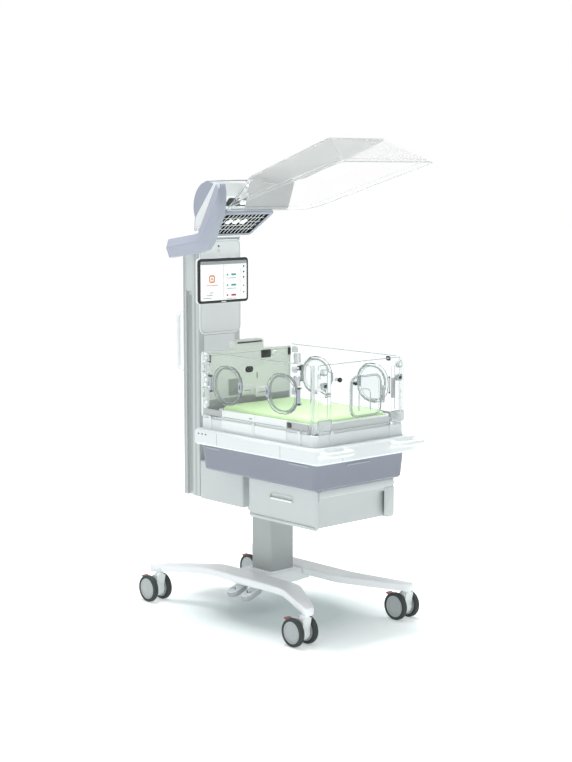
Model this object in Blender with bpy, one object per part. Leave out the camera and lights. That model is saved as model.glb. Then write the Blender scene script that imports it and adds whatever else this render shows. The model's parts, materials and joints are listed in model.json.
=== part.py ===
# Infant incubator on a lifting stand.
# A clear-walled cot sits on a tapered tub, carried by a lifting column on two curved legs
# with four twin-wheel casters. A tower behind the head end carries a monitor and a hood:
# one side arm, a head with a radiant heater, and a clear canopy that tilts.
# Metres, Z up. X runs from the left side to the right, Y from the foot end to the head end.

import math

import bmesh
import bpy
from mathutils import Matrix, Vector

# Clearances.
FIT = 0.0003
RUN = 0.0006

# Casters.
WHEEL_RADIUS = 0.0625
WHEEL_WIDTH = 0.026
WHEEL_SPREAD = 0.040
WHEEL_EDGE = 0.004
WHEEL_SIDES = 16
AXLE_RADIUS = 0.008
CASTER_TRACK = 0.628
SWIVEL_FRONT = -0.530
SWIVEL_REAR = 0.470
CASTER_TRAIL = 0.030
FORK_WIDTH = 0.044
FORK_RADIUS = 0.042
FLANGE_RADIUS = 0.021
STEM_RADIUS = 0.011
STEM_DEPTH = 0.018
BRAKE_LENGTH = 0.047
BRAKE_WIDTH = 0.032
BRAKE_RADIUS = 0.008
BRAKE_THICKNESS = 0.007

# Base.
LEG_INNER = 0.110
LEG_OUTER = 0.220
LEG_TIP_WIDTH = 0.054
LEG_TIP_SHIFT = 0.004
LEG_TIP_INNER = CASTER_TRACK / 2.0 - LEG_TIP_WIDTH / 2.0 - LEG_TIP_SHIFT
LEG_BEND_REAR = 0.240
LEG_BEND_FRONT = -0.285
LEG_TIP_REAR = 0.520
LEG_TIP_FRONT = -0.560
LEG_TOP = 0.190
LEG_THICKNESS = 0.034
LEG_DROP = 0.018
LEG_CORNER = 0.010
BEAM_FRONT = -0.062
BEAM_REAR = 0.132
BEAM_BOTTOM = 0.130
BEAM_SEAT = 0.172
PLINTH_HEIGHT = 0.006

# Pedals.
PEDAL_LENGTH = 0.100
PEDAL_WIDTH = 0.058
PEDAL_THICKNESS = 0.013
PEDAL_SLOPE = 19.0
PEDAL_RAISE_Y = 0.098
PEDAL_LOWER_Y = 0.002
PEDAL_PIVOT_X = -0.062
PEDAL_PIVOT_Z = 0.112
PEDAL_ARM_WIDTH = 0.020
PEDAL_KNUCKLE = 0.008
PEDAL_PIN = 0.0035

# Lifting column.
COLUMN_HALF_WIDTH = 0.070
COLUMN_FRONT = -0.045
COLUMN_REAR = 0.090
COLUMN_TOP = 0.455
COLUMN_WALL = 0.004
COLUMN_CORNER = 0.006
COLUMN_START = 0.200

# Rear housing and tower.
HOUSING_HALF_WIDTH = 0.128
HOUSING_FRONT = 0.084
HOUSING_BOTTOM = 0.478
NECK_HALF_WIDTH = 0.076
NECK_FRONT = -0.050
NECK_BOTTOM = 0.459
TOWER_FRONT = 0.394
TOWER_REAR = 0.510
TOWER_BOTTOM = 0.485
TOWER_TOP = 1.690
RAIL_WIDTH = 0.034
GROOVE_FRONT = 0.440
GROOVE_REAR = 0.484
GROOVE_DEPTH = 0.015
COVER_THICKNESS = 0.004
UPPER_PANEL_BOTTOM = 1.250
UPPER_PANEL_DEPTH = 0.008
CAP_THICKNESS = 0.010
PUSH_HANDLE_INSET = 0.028
PUSH_HANDLE_REACH = 0.068
PUSH_HANDLE_LOW = 1.070
PUSH_HANDLE_HIGH = 1.350
PUSH_HANDLE_RADIUS = 0.010

# Monitor.
MONITOR_HALF_WIDTH = 0.152
MONITOR_BOTTOM = 1.395
MONITOR_TOP = 1.603
MONITOR_FACE = 0.362
MONITOR_BEZEL = 0.010
MONITOR_CORNER = 0.016

# Drawer.
DRAWER_FACE_X = -0.210
DRAWER_FACE_THICKNESS = 0.014
DRAWER_END_X = 0.221
DRAWER_FRAME_END = 0.266
DRAWER_FOOT = -0.492
DRAWER_HEAD = -0.052
DRAWER_BOTTOM = 0.475
DRAWER_TOP = 0.6545
DRAWER_WALL = 0.003
DRAWER_GRIP_FOOT = -0.343
DRAWER_GRIP_HEAD = -0.194
DRAWER_GRIP_LOW = 0.577
DRAWER_GRIP_HIGH = 0.600
RUNNER_WEB = 0.006
RUNNER_SHELF = 0.012
RUNNER_THICKNESS = 0.006
RUNNER_LOW = 0.600
DRAWER_PLATE = 0.011

# Tub and platform.
TUB_BOTTOM = 0.662
TUB_HALF_WIDTH = 0.263
TUB_FRONT = -0.545
TUB_REAR = 0.200
TUB_FLARE = 0.012
TUB_WALL = 0.004
TUB_CORNER = 0.026
PLATFORM_BOTTOM = 0.782
PLATFORM_TOP = 0.850
PLATFORM_HALF_WIDTH = 0.307
PLATFORM_FRONT = -0.597
PLATFORM_REAR = 0.222
PLATFORM_CORNER = 0.024
PLATFORM_EDGE = 0.008
RIM_TOP = 0.899
RIM_OUTER = 0.272
RIM_INNER = 0.254
RIM_FRONT = -0.5485
RIM_REAR = 0.212
RIM_CORNER = 0.030
FOOT_HANDLE_INNER = 0.146
FOOT_HANDLE_OUTER = 0.284
FOOT_HANDLE_REACH = 0.055
FOOT_HANDLE_Z = 0.832
FOOT_HANDLE_RADIUS = 0.0115

# Clear walls.
WALL_THICKNESS = 0.006
WALL_OUTER = 0.268
WALL_FOOT_FACE = -0.545
WALL_TOP = 1.197
WALL_HEAD_END = 0.195
WALL_FOOT_END = -0.514
WALL_RETURN = 0.026
HINGE_OFFSET = 0.0065
HINGE_Z = 0.908
HINGE_RADIUS = 0.0045
HINGE_PIN = 0.0024
HINGE_LUG = 0.016
WALL_RAIL_TOP = 0.940
WALL_RAIL_DEPTH = 0.004
PORT_REAR_Y = 0.016
PORT_FRONT_Y = -0.345
PORT_Z = 1.062
PORT_WIDTH = 0.168
PORT_HEIGHT = 0.148
PORT_CORNER = 0.070
DOOR_LIP = 0.015
DOOR_THICKNESS = 0.009
DOOR_KNUCKLE = 0.006
DOOR_KNUCKLE_LENGTH = 0.060
DOOR_PIN = 0.0026
DOOR_LUG = 0.008
HATCH_LEFT = -0.062
HATCH_RIGHT = 0.108
HATCH_LOW = 0.963
HATCH_HIGH = 1.130
HATCH_CORNER = 0.030
HATCH_LIP = 0.010
KNOB_X = -0.141
KNOB_Z = 1.130
KNOB_RADIUS = 0.011

# Console at the head end.
CONSOLE_HALF_WIDTH = 0.2585
CONSOLE_FACE = 0.178
CONSOLE_REAR = 0.222
CONSOLE_TOP = 1.195
CONSOLE_RISE = 0.042
CONSOLE_RISE_HALF_WIDTH = 0.090

# Mattress, tray and tilt support.
TRAY_HALF_WIDTH = 0.235
TRAY_FOOT = -0.500
TRAY_HEAD = 0.140
TRAY_BOTTOM = 0.893
TRAY_TOP = 0.940
TRAY_WALL = 0.006
TRAY_FLOOR = 0.008
TRAY_CORNER = 0.030
MATTRESS_TOP = 0.955
MATTRESS_SIDE_GAP = 0.004
TILT_PIVOT_Y = -0.180
TILT_PIVOT_Z = 0.860
TILT_KNUCKLE = 0.011
TILT_KNUCKLE_LENGTH = 0.120
TILT_PIN = 0.005
TILT_LUG = 0.012
TILT_POST_HALF_DEPTH = 0.030

# Hood carriage, arm and head.
CARRIAGE_BOTTOM = 1.451
CARRIAGE_TOP = 1.685
CARRIAGE_BLOCK_BOTTOM = 1.618
ARM_RIDGE_X = -0.250
ARM_EDGE_X = -0.230
ARM_INNER_X = -0.190
HEAD_RIGHT_X = 0.150
HEAD_CAP_THICKNESS = 0.004
HEATER_HALF_WIDTH = 0.150
HEATER_FRONT_Y = 0.168
HEATER_FRONT_Z = 1.818
HEATER_REAR_Y = 0.347
HEATER_REAR_Z = 1.705
HEATER_DEPTH = 0.020
HEATER_BORDER = 0.020
GRILLE_THICKNESS = 0.004
GRILLE_BAR = 0.006
GRILLE_SLOTS = 5
LAMP_LEFT = -0.086
LAMP_RIGHT = -0.032
LAMP_THICKNESS = 0.006

# Canopy.
CANOPY_TILT = 15.5
CANOPY_REAR_Y = 0.062
CANOPY_REAR_Z = 1.830
CANOPY_LENGTH = 0.795
CANOPY_HALF_WIDTH = 0.275
CANOPY_CORNER = 0.080
CANOPY_FRONT_CORNER = 0.022
CANOPY_TOP_REAR = 0.083
CANOPY_TOP_FRONT = 0.640
CANOPY_TOP_HALF_WIDTH = 0.171
CANOPY_HEIGHT_REAR = 0.120
CANOPY_HEIGHT_FRONT = 0.145
CANOPY_TOP_CORNER = 0.045
CANOPY_TOP_FRONT_CORNER = 0.014
CANOPY_WALL = 0.005
REAR_PLATE_HALF_WIDTH = 0.131
REAR_PLATE_LOW = 0.004
REAR_PLATE_THICKNESS = 0.004
CANOPY_PIVOT_Y = 0.108
CANOPY_PIVOT_Z = 1.930
YOKE_RADIUS = 0.012
YOKE_LENGTH = 0.130
YOKE_PIN = 0.005
YOKE_LUG = 0.012


# Outlines.
def rounded_outline(low_u, high_u, low_v, high_v, radius, steps=2, far_radius=None):
    """A rectangle with round corners, counter-clockwise; the far ones may differ."""
    far = radius if far_radius is None else far_radius
    corners = (
        (high_u - radius, low_v + radius, radius, -90.0),
        (high_u - far, high_v - far, far, 0.0),
        (low_u + far, high_v - far, far, 90.0),
        (low_u + radius, low_v + radius, radius, 180.0),
    )
    points = []
    for centre_u, centre_v, bend, start in corners:
        for step in range(steps + 1):
            angle = math.radians(start + 90.0 * step / steps)
            points.append((centre_u + bend * math.cos(angle), centre_v + bend * math.sin(angle)))
    return points


def circle(centre_u, centre_v, radius, sides):
    """A round outline with a flat side at the bottom."""
    reach = radius / math.cos(math.pi / sides)
    points = []
    for side in range(sides):
        angle = 2.0 * math.pi * (side + 0.5) / sides - math.pi / 2.0
        points.append((centre_u + reach * math.cos(angle), centre_v + reach * math.sin(angle)))
    return points


def arc(centre_u, centre_v, radius, start, end, steps):
    """Points along an arc, angles in degrees."""
    points = []
    for step in range(steps + 1):
        angle = math.radians(start + (end - start) * step / steps)
        points.append((centre_u + radius * math.cos(angle), centre_v + radius * math.sin(angle)))
    return points


def hull(points):
    """The convex outline round some points, counter-clockwise."""
    ordered = sorted(set(points))

    def chain(run):
        kept = []
        for point in run:
            while len(kept) > 1 and turn(kept[-2], kept[-1], point) <= 0.0:
                kept.pop()
            kept.append(point)
        return kept[:-1]

    return chain(ordered) + chain(reversed(ordered))


def turn(first, second, third):
    """Positive where three points turn to the left."""
    ahead = (second[0] - first[0]) * (third[1] - first[1])
    aside = (second[1] - first[1]) * (third[0] - first[0])
    return ahead - aside


def at(axis, u, v, w):
    """The point at w along an axis and at u, v across it."""
    if axis == "X":
        return Vector((w, u, v))
    if axis == "Y":
        return Vector((u, w, v))
    return Vector((u, v, w))


# Solids.
def solid(name, loops, ring=False):
    """A closed body through loops of points; a ring joins its last loop to its first."""
    form = bmesh.new()
    rows = [[form.verts.new(point) for point in loop] for loop in loops]
    pairs = list(zip(rows, rows[1:]))
    if ring:
        pairs.append((rows[-1], rows[0]))
    else:
        form.faces.new(rows[0])
        form.faces.new(rows[-1])
    count = len(rows[0])
    for first, second in pairs:
        for index in range(count):
            after = (index + 1) % count
            form.faces.new((first[index], first[after], second[after], second[index]))
    bmesh.ops.recalc_face_normals(form, faces=form.faces)
    mesh = bpy.data.meshes.new(name)
    form.to_mesh(mesh)
    form.free()
    part = bpy.data.objects.new(name, mesh)
    bpy.context.collection.objects.link(part)
    return part


def prism(name, axis, outline, low, high):
    """An outline pushed along an axis from low to high."""
    return solid(name, [[at(axis, u, v, w) for u, v in outline] for w in (low, high)])


def slab(name, axis, span, side_u, side_v, corner, edge=0.0, steps=2):
    """A plate across an axis with round corners and eased edges."""
    low, high = span
    levels = [(low, 0.0), (high, 0.0)]
    if edge > 0.0:
        levels = [(low, edge), (low + edge, 0.0), (high - edge, 0.0), (high, edge)]
    loops = []
    for level, inset in levels:
        outline = rounded_outline(
            side_u[0] + inset, side_u[1] - inset, side_v[0] + inset, side_v[1] - inset,
            max(corner - inset, 0.0005), steps,
        )
        loops.append([at(axis, u, v, level) for u, v in outline])
    return solid(name, loops)


def turned(name, axis, centre, profile, sides):
    """A turned body; the profile is a list of (along, radius)."""
    loops = []
    for along, radius in profile:
        loops.append([at(axis, u, v, along) for u, v in circle(centre[0], centre[1], radius, sides)])
    return solid(name, loops)


def barrel(name, axis, centre, middle, length, radius, pin, reach, sides=12):
    """A hinge knuckle with a stub pin at each end."""
    half = length / 2.0
    profile = [
        (middle - half - reach, pin), (middle - half, pin), (middle - half, radius),
        (middle + half, radius), (middle + half, pin), (middle + half + reach, pin),
    ]
    return turned(name, axis, centre, profile, sides)


def combine(body, tool, operation):
    """Joins a tool to a body or cuts it away, and deletes the tool."""
    step = body.modifiers.new(operation, "BOOLEAN")
    step.operation = operation
    step.solver = "EXACT"
    step.object = tool
    graph = bpy.context.evaluated_depsgraph_get()
    mesh = bpy.data.meshes.new_from_object(body.evaluated_get(graph))
    body.modifiers.clear()
    body.data = mesh
    bpy.data.objects.remove(tool)


def join(body, *tools):
    """Adds tools to a body."""
    for tool in tools:
        combine(body, tool, "UNION")


def cut(body, *tools):
    """Takes tools out of a body."""
    for tool in tools:
        combine(body, tool, "DIFFERENCE")


def settle(part, point):
    """Puts a part's origin on its joint's axis."""
    part.data.transform(Matrix.Translation(-Vector(point)))
    part.location = point


# Casters.
def leg_bottom_at_tip():
    return LEG_TOP - LEG_DROP - LEG_THICKNESS


def caster_wheels(name, x, y):
    """Two wheels and the axle between them."""
    outer = WHEEL_SPREAD + WHEEL_WIDTH / 2.0
    inner = WHEEL_SPREAD - WHEEL_WIDTH / 2.0
    tread = WHEEL_RADIUS
    hub = WHEEL_RADIUS - 2.0 * WHEEL_EDGE
    half = [
        (outer, AXLE_RADIUS * 2.0), (outer, hub), (outer - WHEEL_EDGE, tread),
        (inner + WHEEL_EDGE, tread), (inner, hub), (inner, AXLE_RADIUS),
    ]
    profile = [(x - along, radius) for along, radius in half]
    profile += [(x + along, radius) for along, radius in reversed(half)]
    part = turned(name, "X", (y, WHEEL_RADIUS), profile, WHEEL_SIDES)
    settle(part, (x, y, WHEEL_RADIUS))
    return part


def brake_pivot(y):
    """Place of the brake's pin, behind and above the axle."""
    reach = FORK_RADIUS + BRAKE_RADIUS + RUN
    angle = math.radians(38.0)
    return (y + reach * math.cos(angle), WHEEL_RADIUS + reach * math.sin(angle))


def caster_fork(name, x, y):
    """The body between the wheels, with its flange and stem."""
    stem_y = y - CASTER_TRAIL
    bottom = leg_bottom_at_tip()
    flange_top = bottom - FIT
    flange_low = 2.0 * WHEEL_RADIUS + 0.0025
    outline = arc(y, WHEEL_RADIUS, FORK_RADIUS, 72.0, -200.0, 10)
    outline += [(stem_y - 0.019, flange_low), (stem_y + 0.019, flange_low)]
    half = FORK_WIDTH / 2.0
    part = prism(name, "X", outline, x - half, x + half)
    stem = turned(
        "stem", "Z", (x, stem_y),
        [
            (flange_low - 0.004, FLANGE_RADIUS - 0.004), (flange_low, FLANGE_RADIUS),
            (flange_top, FLANGE_RADIUS), (flange_top, STEM_RADIUS), (bottom + STEM_DEPTH, STEM_RADIUS),
        ],
        14,
    )
    pivot = brake_pivot(y)
    ears = []
    for side in (-1.0, 1.0):
        face = BRAKE_WIDTH / 2.0 + FIT
        spans = sorted((x + side * face, x + side * half))
        shape = hull(
            circle(pivot[0], pivot[1], BRAKE_RADIUS, 10)
            + arc(y, WHEEL_RADIUS, FORK_RADIUS - 0.004, 60.0, 10.0, 3)
        )
        ears.append(prism("ear", "X", shape, spans[0], spans[1]))
    join(part, stem, *ears)
    bore = prism("bore", "X", circle(y, WHEEL_RADIUS, AXLE_RADIUS + RUN, 16), x - half - 0.01, x + half + 0.01)
    pin = prism("pin", "X", circle(pivot[0], pivot[1], 0.0030 + RUN, 8), x - half - 0.01, x + half + 0.01)
    cut(part, bore, pin)
    settle(part, (x, stem_y, flange_top))
    return part


def caster_brake(name, x, y):
    """The foot lever of the wheel brake."""
    pivot = brake_pivot(y)
    reach = FORK_WIDTH / 2.0 - BRAKE_WIDTH / 2.0
    part = barrel(name, "X", pivot, x, BRAKE_WIDTH, BRAKE_RADIUS - FIT, 0.0030, reach, 10)
    rise = math.radians(14.0)
    along = (math.cos(rise), math.sin(rise))
    across = (-along[1], along[0])
    half = BRAKE_THICKNESS / 2.0
    outline = []
    for distance, offset in ((0.0, -half), (BRAKE_LENGTH - 0.006, -half), (BRAKE_LENGTH, -half * 0.2),
                             (BRAKE_LENGTH, half * 0.8), (BRAKE_LENGTH - 0.004, half), (0.0, half)):
        outline.append((
            pivot[0] + distance * along[0] + offset * across[0],
            pivot[1] + distance * along[1] + offset * across[1],
        ))
    half_width = BRAKE_WIDTH / 2.0
    tongue = prism("tongue", "X", outline, x - half_width, x + half_width)
    join(part, tongue)
    settle(part, (x, pivot[0], pivot[1]))
    return part


def make_casters():
    parts = []
    half = CASTER_TRACK / 2.0
    places = {
        "front_left": (-half, SWIVEL_FRONT), "front_right": (half, SWIVEL_FRONT),
        "rear_left": (-half, SWIVEL_REAR), "rear_right": (half, SWIVEL_REAR),
    }
    for name, (x, swivel_y) in places.items():
        y = swivel_y + CASTER_TRAIL
        parts.append((caster_fork("caster_fork_" + name, x, y), "caster_white"))
        parts.append((caster_wheels("caster_wheels_" + name, x, y), "tyre"))
        parts.append((caster_brake("caster_brake_" + name, x, y), "brake_red"))
    return parts


# Base.
def leg_stations():
    """Places along a leg: Y, inner edge, outer edge and drop."""
    spread = 0.03
    places = [LEG_TIP_FRONT + d for d in (0.002, 0.008, 0.017, LEG_TIP_WIDTH / 2.0)]
    places += [SWIVEL_FRONT + 0.05, LEG_BEND_FRONT - 0.11]
    places += [LEG_BEND_FRONT + d for d in (-0.05, -0.015, 0.015, 0.05)]
    places += [LEG_BEND_REAR + d for d in (-0.05, -0.015, 0.015, 0.05)]
    places += [LEG_BEND_REAR + 0.11, SWIVEL_REAR - 0.05]
    places += [LEG_TIP_REAR - d for d in (LEG_TIP_WIDTH / 2.0, 0.017, 0.008, 0.002)]
    stations = []
    for y in places:
        front = y < (LEG_BEND_FRONT + LEG_BEND_REAR) / 2.0
        bend = LEG_BEND_FRONT if front else LEG_BEND_REAR
        tip = LEG_TIP_FRONT if front else LEG_TIP_REAR
        beyond = (bend - y) if front else (y - bend)
        length = abs(tip - bend)
        share = (math.sqrt(beyond * beyond + spread * spread) + beyond) / 2.0 / length
        share = min(share, 1.0)
        inner = LEG_INNER + share * (LEG_TIP_INNER - LEG_INNER)
        outer = LEG_OUTER + share * (LEG_TIP_INNER + LEG_TIP_WIDTH - LEG_OUTER)
        to_tip = abs(tip - y)
        round_end = LEG_TIP_WIDTH / 2.0
        if to_tip < round_end:
            middle = (inner + outer) / 2.0
            half = math.sqrt(round_end ** 2 - (round_end - to_tip) ** 2)
            inner = middle - half
            outer = middle + half
        stations.append((y, inner, outer, share * LEG_DROP))
    return stations


def make_leg(name, side):
    """A curved leg with a socket for a caster stem at each end."""
    loops = []
    for y, inner, outer, drop in leg_stations():
        top = LEG_TOP - drop
        bottom = top - LEG_THICKNESS
        corner = min(LEG_CORNER, (outer - inner) * 0.3)
        outline = rounded_outline(inner, outer, bottom, top, corner)
        loops.append([Vector((side * u, y, v)) for u, v in outline])
    part = solid(name, loops)
    x = side * CASTER_TRACK / 2.0
    bottom = leg_bottom_at_tip()
    for y in (SWIVEL_FRONT, SWIVEL_REAR):
        socket = prism("socket", "Z", circle(x, y, STEM_RADIUS + RUN, 14), bottom - 0.02, bottom + STEM_DEPTH + RUN)
        cut(part, socket)
    return part


def make_base():
    left = make_leg("base_leg_left", -1.0)
    right = make_leg("base_leg_right", 1.0)
    seat = LEG_TOP - LEG_THICKNESS - FIT
    reach = (LEG_INNER + LEG_OUTER) / 2.0
    beam = slab(
        "base_crossbeam", "Y", (BEAM_FRONT, BEAM_REAR), (-LEG_INNER + FIT + 0.002, LEG_INNER - FIT - 0.002),
        (BEAM_BOTTOM, LEG_TOP - 0.002), 0.010, 0.003,
    )
    shelf = slab(
        "shelf", "Y", (BEAM_FRONT + 0.012, BEAM_REAR - 0.012), (-reach, reach), (BEAM_BOTTOM, seat), 0.006,
    )
    plinth = slab(
        "plinth", "Z", (LEG_TOP - 0.010, LEG_TOP + PLINTH_HEIGHT - 0.001),
        (-COLUMN_HALF_WIDTH - 0.010, COLUMN_HALF_WIDTH + 0.010),
        (COLUMN_FRONT - 0.008, COLUMN_REAR + 0.010), 0.008,
    )
    join(beam, shelf, plinth)
    bracket = pedal_bracket()
    return [
        (left, "leg_white"), (right, "leg_white"), (beam, "leg_white"), (bracket, "dark_metal"),
    ]


# Pedals.
def pedal_bracket():
    """A dark bracket under the crossbeam with lugs on both sides of each pedal arm."""
    top = BEAM_BOTTOM - FIT
    x = PEDAL_PIVOT_X
    low_y = min(PEDAL_LOWER_Y, PEDAL_RAISE_Y) - PEDAL_ARM_WIDTH / 2.0 - 0.012
    high_y = max(PEDAL_LOWER_Y, PEDAL_RAISE_Y) + PEDAL_ARM_WIDTH / 2.0 + 0.012
    part = slab(
        "pedal_bracket", "Z", (top - 0.004, top), (x - 0.018, x + 0.030), (low_y, high_y), 0.004,
    )
    for middle in (PEDAL_LOWER_Y, PEDAL_RAISE_Y):
        for side in (-1.0, 1.0):
            near = middle + side * (PEDAL_ARM_WIDTH / 2.0 + FIT)
            far = middle + side * (PEDAL_ARM_WIDTH / 2.0 + 0.008)
            shape = hull(
                circle(x, PEDAL_PIVOT_Z, PEDAL_KNUCKLE, 10)
                + [(x - 0.014, top - 0.002), (x + 0.016, top - 0.002)]
            )
            join(part, prism("lug", "Y", shape, min(near, far), max(near, far)))
    hole = prism(
        "hole", "Y", circle(x, PEDAL_PIVOT_Z, PEDAL_PIN + RUN, 10), low_y - 0.01, high_y + 0.01,
    )
    cut(part, hole)
    return part


def make_pedal(name, middle):
    """A foot pedal: an oval pad on an arm that turns on a pin."""
    x = PEDAL_PIVOT_X
    part = barrel(
        name, "Y", (x, PEDAL_PIVOT_Z), middle, PEDAL_ARM_WIDTH, PEDAL_KNUCKLE, PEDAL_PIN, 0.0078, 10,
    )
    slope = math.radians(PEDAL_SLOPE)
    inner_x = x - 0.040
    inner_z = PEDAL_PIVOT_Z - 0.002
    half = PEDAL_THICKNESS / 2.0
    arm = prism(
        "arm", "Y",
        [(x, inner_z + 0.006), (inner_x - 0.02, inner_z + 0.002), (inner_x - 0.02, inner_z - 0.009),
         (x, inner_z - 0.004)],
        middle - PEDAL_ARM_WIDTH / 2.0, middle + PEDAL_ARM_WIDTH / 2.0,
    )
    loops = []
    for level, inset in ((-half, 0.0), (half - 0.004, 0.0), (half, 0.005)):
        outline = rounded_outline(
            -PEDAL_LENGTH + inset, -inset, -PEDAL_WIDTH / 2.0 + inset, PEDAL_WIDTH / 2.0 - inset,
            PEDAL_WIDTH / 2.0 - 0.002 - inset, 4,
        )
        loop = []
        for along, across in outline:
            loop.append(Vector((
                inner_x + along * math.cos(slope) - level * math.sin(slope),
                middle + across,
                inner_z + along * math.sin(slope) + level * math.cos(slope),
            )))
        loops.append(loop)
    pad = solid("pad", loops)
    join(part, arm, pad)
    settle(part, (x, middle, PEDAL_PIVOT_Z))
    return part


# Lifting column.
def square_tube(name, half_width, front, rear, wall, corner, bottom, top):
    outer = rounded_outline(-half_width, half_width, front, rear, corner, 1)
    inner = rounded_outline(
        -half_width + wall, half_width - wall, front + wall, rear - wall, max(corner - wall, 0.001), 1,
    )
    loops = []
    for outline, level in ((outer, bottom), (outer, top), (inner, top), (inner, bottom)):
        loops.append([Vector((u, v, level)) for u, v in outline])
    return solid(name, loops, ring=True)


def make_column():
    foot = LEG_TOP + PLINTH_HEIGHT - 0.001 + FIT
    outer = square_tube(
        "column_outer", COLUMN_HALF_WIDTH, COLUMN_FRONT, COLUMN_REAR, COLUMN_WALL, COLUMN_CORNER,
        foot, COLUMN_TOP,
    )
    step = COLUMN_WALL + RUN
    inner = square_tube(
        "column_inner", COLUMN_HALF_WIDTH - step, COLUMN_FRONT + step, COLUMN_REAR - step,
        COLUMN_WALL, COLUMN_CORNER, COLUMN_START, NECK_BOTTOM - FIT,
    )
    return [(outer, "column_grey"), (inner, "rail_grey")]


# Rear housing and tower.
def make_rear_housing():
    top = TUB_BOTTOM - FIT
    part = slab(
        "rear_housing", "Z", (HOUSING_BOTTOM, top), (-HOUSING_HALF_WIDTH, HOUSING_HALF_WIDTH),
        (HOUSING_FRONT, TOWER_FRONT - FIT), 0.012, 0.005,
    )
    neck = slab(
        "neck", "Z", (NECK_BOTTOM, top), (-NECK_HALF_WIDTH, NECK_HALF_WIDTH),
        (NECK_FRONT, HOUSING_FRONT + 0.030), 0.008, 0.003,
    )
    join(part, neck)
    return part


def make_rail(name, side):
    """A side rail of the tower with its outer groove."""
    outer = HOUSING_HALF_WIDTH
    inner = HOUSING_HALF_WIDTH - RAIL_WIDTH
    floor = outer - GROOVE_DEPTH
    outline = [
        (inner, TOWER_FRONT), (outer - 0.004, TOWER_FRONT), (outer, TOWER_FRONT + 0.004),
        (outer, GROOVE_FRONT), (floor, GROOVE_FRONT), (floor, GROOVE_REAR), (outer, GROOVE_REAR),
        (outer, TOWER_REAR - 0.004), (outer - 0.004, TOWER_REAR), (inner, TOWER_REAR),
    ]
    outline = [(side * u, v) for u, v in outline]
    return prism(name, "Z", outline, TOWER_BOTTOM, TOWER_TOP)


def make_tower():
    parts = [(make_rail("tower_rail_left", -1.0), "rail_grey"), (make_rail("tower_rail_right", 1.0), "rail_grey")]
    inside = HOUSING_HALF_WIDTH - RAIL_WIDTH - FIT
    front = slab(
        "tower_front_cover", "Y", (TOWER_FRONT, TOWER_FRONT + COVER_THICKNESS), (-inside, inside),
        (TOWER_BOTTOM, TOWER_TOP), 0.003,
    )
    rear = slab(
        "tower_rear_cover", "Y", (TOWER_REAR - COVER_THICKNESS, TOWER_REAR), (-inside, inside),
        (TOWER_BOTTOM, TOWER_TOP), 0.003,
    )
    upper = slab(
        "tower_upper_panel", "Y", (TOWER_FRONT - FIT - UPPER_PANEL_DEPTH, TOWER_FRONT - FIT),
        (-HOUSING_HALF_WIDTH + 0.002, HOUSING_HALF_WIDTH - 0.002), (UPPER_PANEL_BOTTOM, TOWER_TOP), 0.030, 0.003, 4,
    )
    cap = slab(
        "tower_cap", "Z", (TOWER_TOP + FIT, TOWER_TOP + FIT + CAP_THICKNESS),
        (-HOUSING_HALF_WIDTH, HOUSING_HALF_WIDTH), (TOWER_FRONT - UPPER_PANEL_DEPTH, TOWER_REAR), 0.008, 0.003,
    )
    parts += [(front, "shell_white"), (rear, "shell_white"), (upper, "shell_white"), (cap, "rail_grey")]
    for name, side in (("push_handle_left", -1.0), ("push_handle_right", 1.0)):
        parts.append((make_push_handle(name, side), "rail_grey"))
    return parts


def make_push_handle(name, side):
    """An upright grip behind the tower, bent round at both ends."""
    x = side * (HOUSING_HALF_WIDTH - PUSH_HANDLE_INSET)
    start = TOWER_REAR + FIT
    reach = TOWER_REAR + PUSH_HANDLE_REACH
    bend = 0.030
    path = [Vector((x, start, PUSH_HANDLE_LOW))]
    for y, z in arc(reach - bend, PUSH_HANDLE_LOW + bend, bend, -90.0, 0.0, 4):
        path.append(Vector((x, y, z)))
    for y, z in arc(reach - bend, PUSH_HANDLE_HIGH - bend, bend, 0.0, 90.0, 4):
        path.append(Vector((x, y, z)))
    path.append(Vector((x, start, PUSH_HANDLE_HIGH)))
    loops = []
    for index, point in enumerate(path):
        before = path[max(index - 1, 0)]
        after = path[min(index + 1, len(path) - 1)]
        forward = (after - before).normalized()
        if index in (0, len(path) - 1):
            forward = Vector((0.0, 1.0 if index == 0 else -1.0, 0.0))
        across = Vector((1.0, 0.0, 0.0))
        up = across.cross(forward)
        ring = []
        for step in range(10):
            angle = 2.0 * math.pi * step / 10
            ring.append(point + PUSH_HANDLE_RADIUS * (math.cos(angle) * across + math.sin(angle) * up))
        loops.append(ring)
    return solid(name, loops)


def make_monitor():
    back = TOWER_FRONT - FIT - UPPER_PANEL_DEPTH - FIT
    middle = MONITOR_FACE + MONITOR_BEZEL
    sides = (-MONITOR_HALF_WIDTH, MONITOR_HALF_WIDTH)
    screen = slab(
        "monitor_screen", "Y", (MONITOR_FACE, middle), sides, (MONITOR_BOTTOM, MONITOR_TOP), MONITOR_CORNER, 0.002, 3,
    )
    housing = slab(
        "monitor_housing", "Y", (middle + FIT, back), sides, (MONITOR_BOTTOM, MONITOR_TOP), MONITOR_CORNER, 0.002, 3,
    )
    return [(screen, "screen_black"), (housing, "shell_white")]


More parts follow.
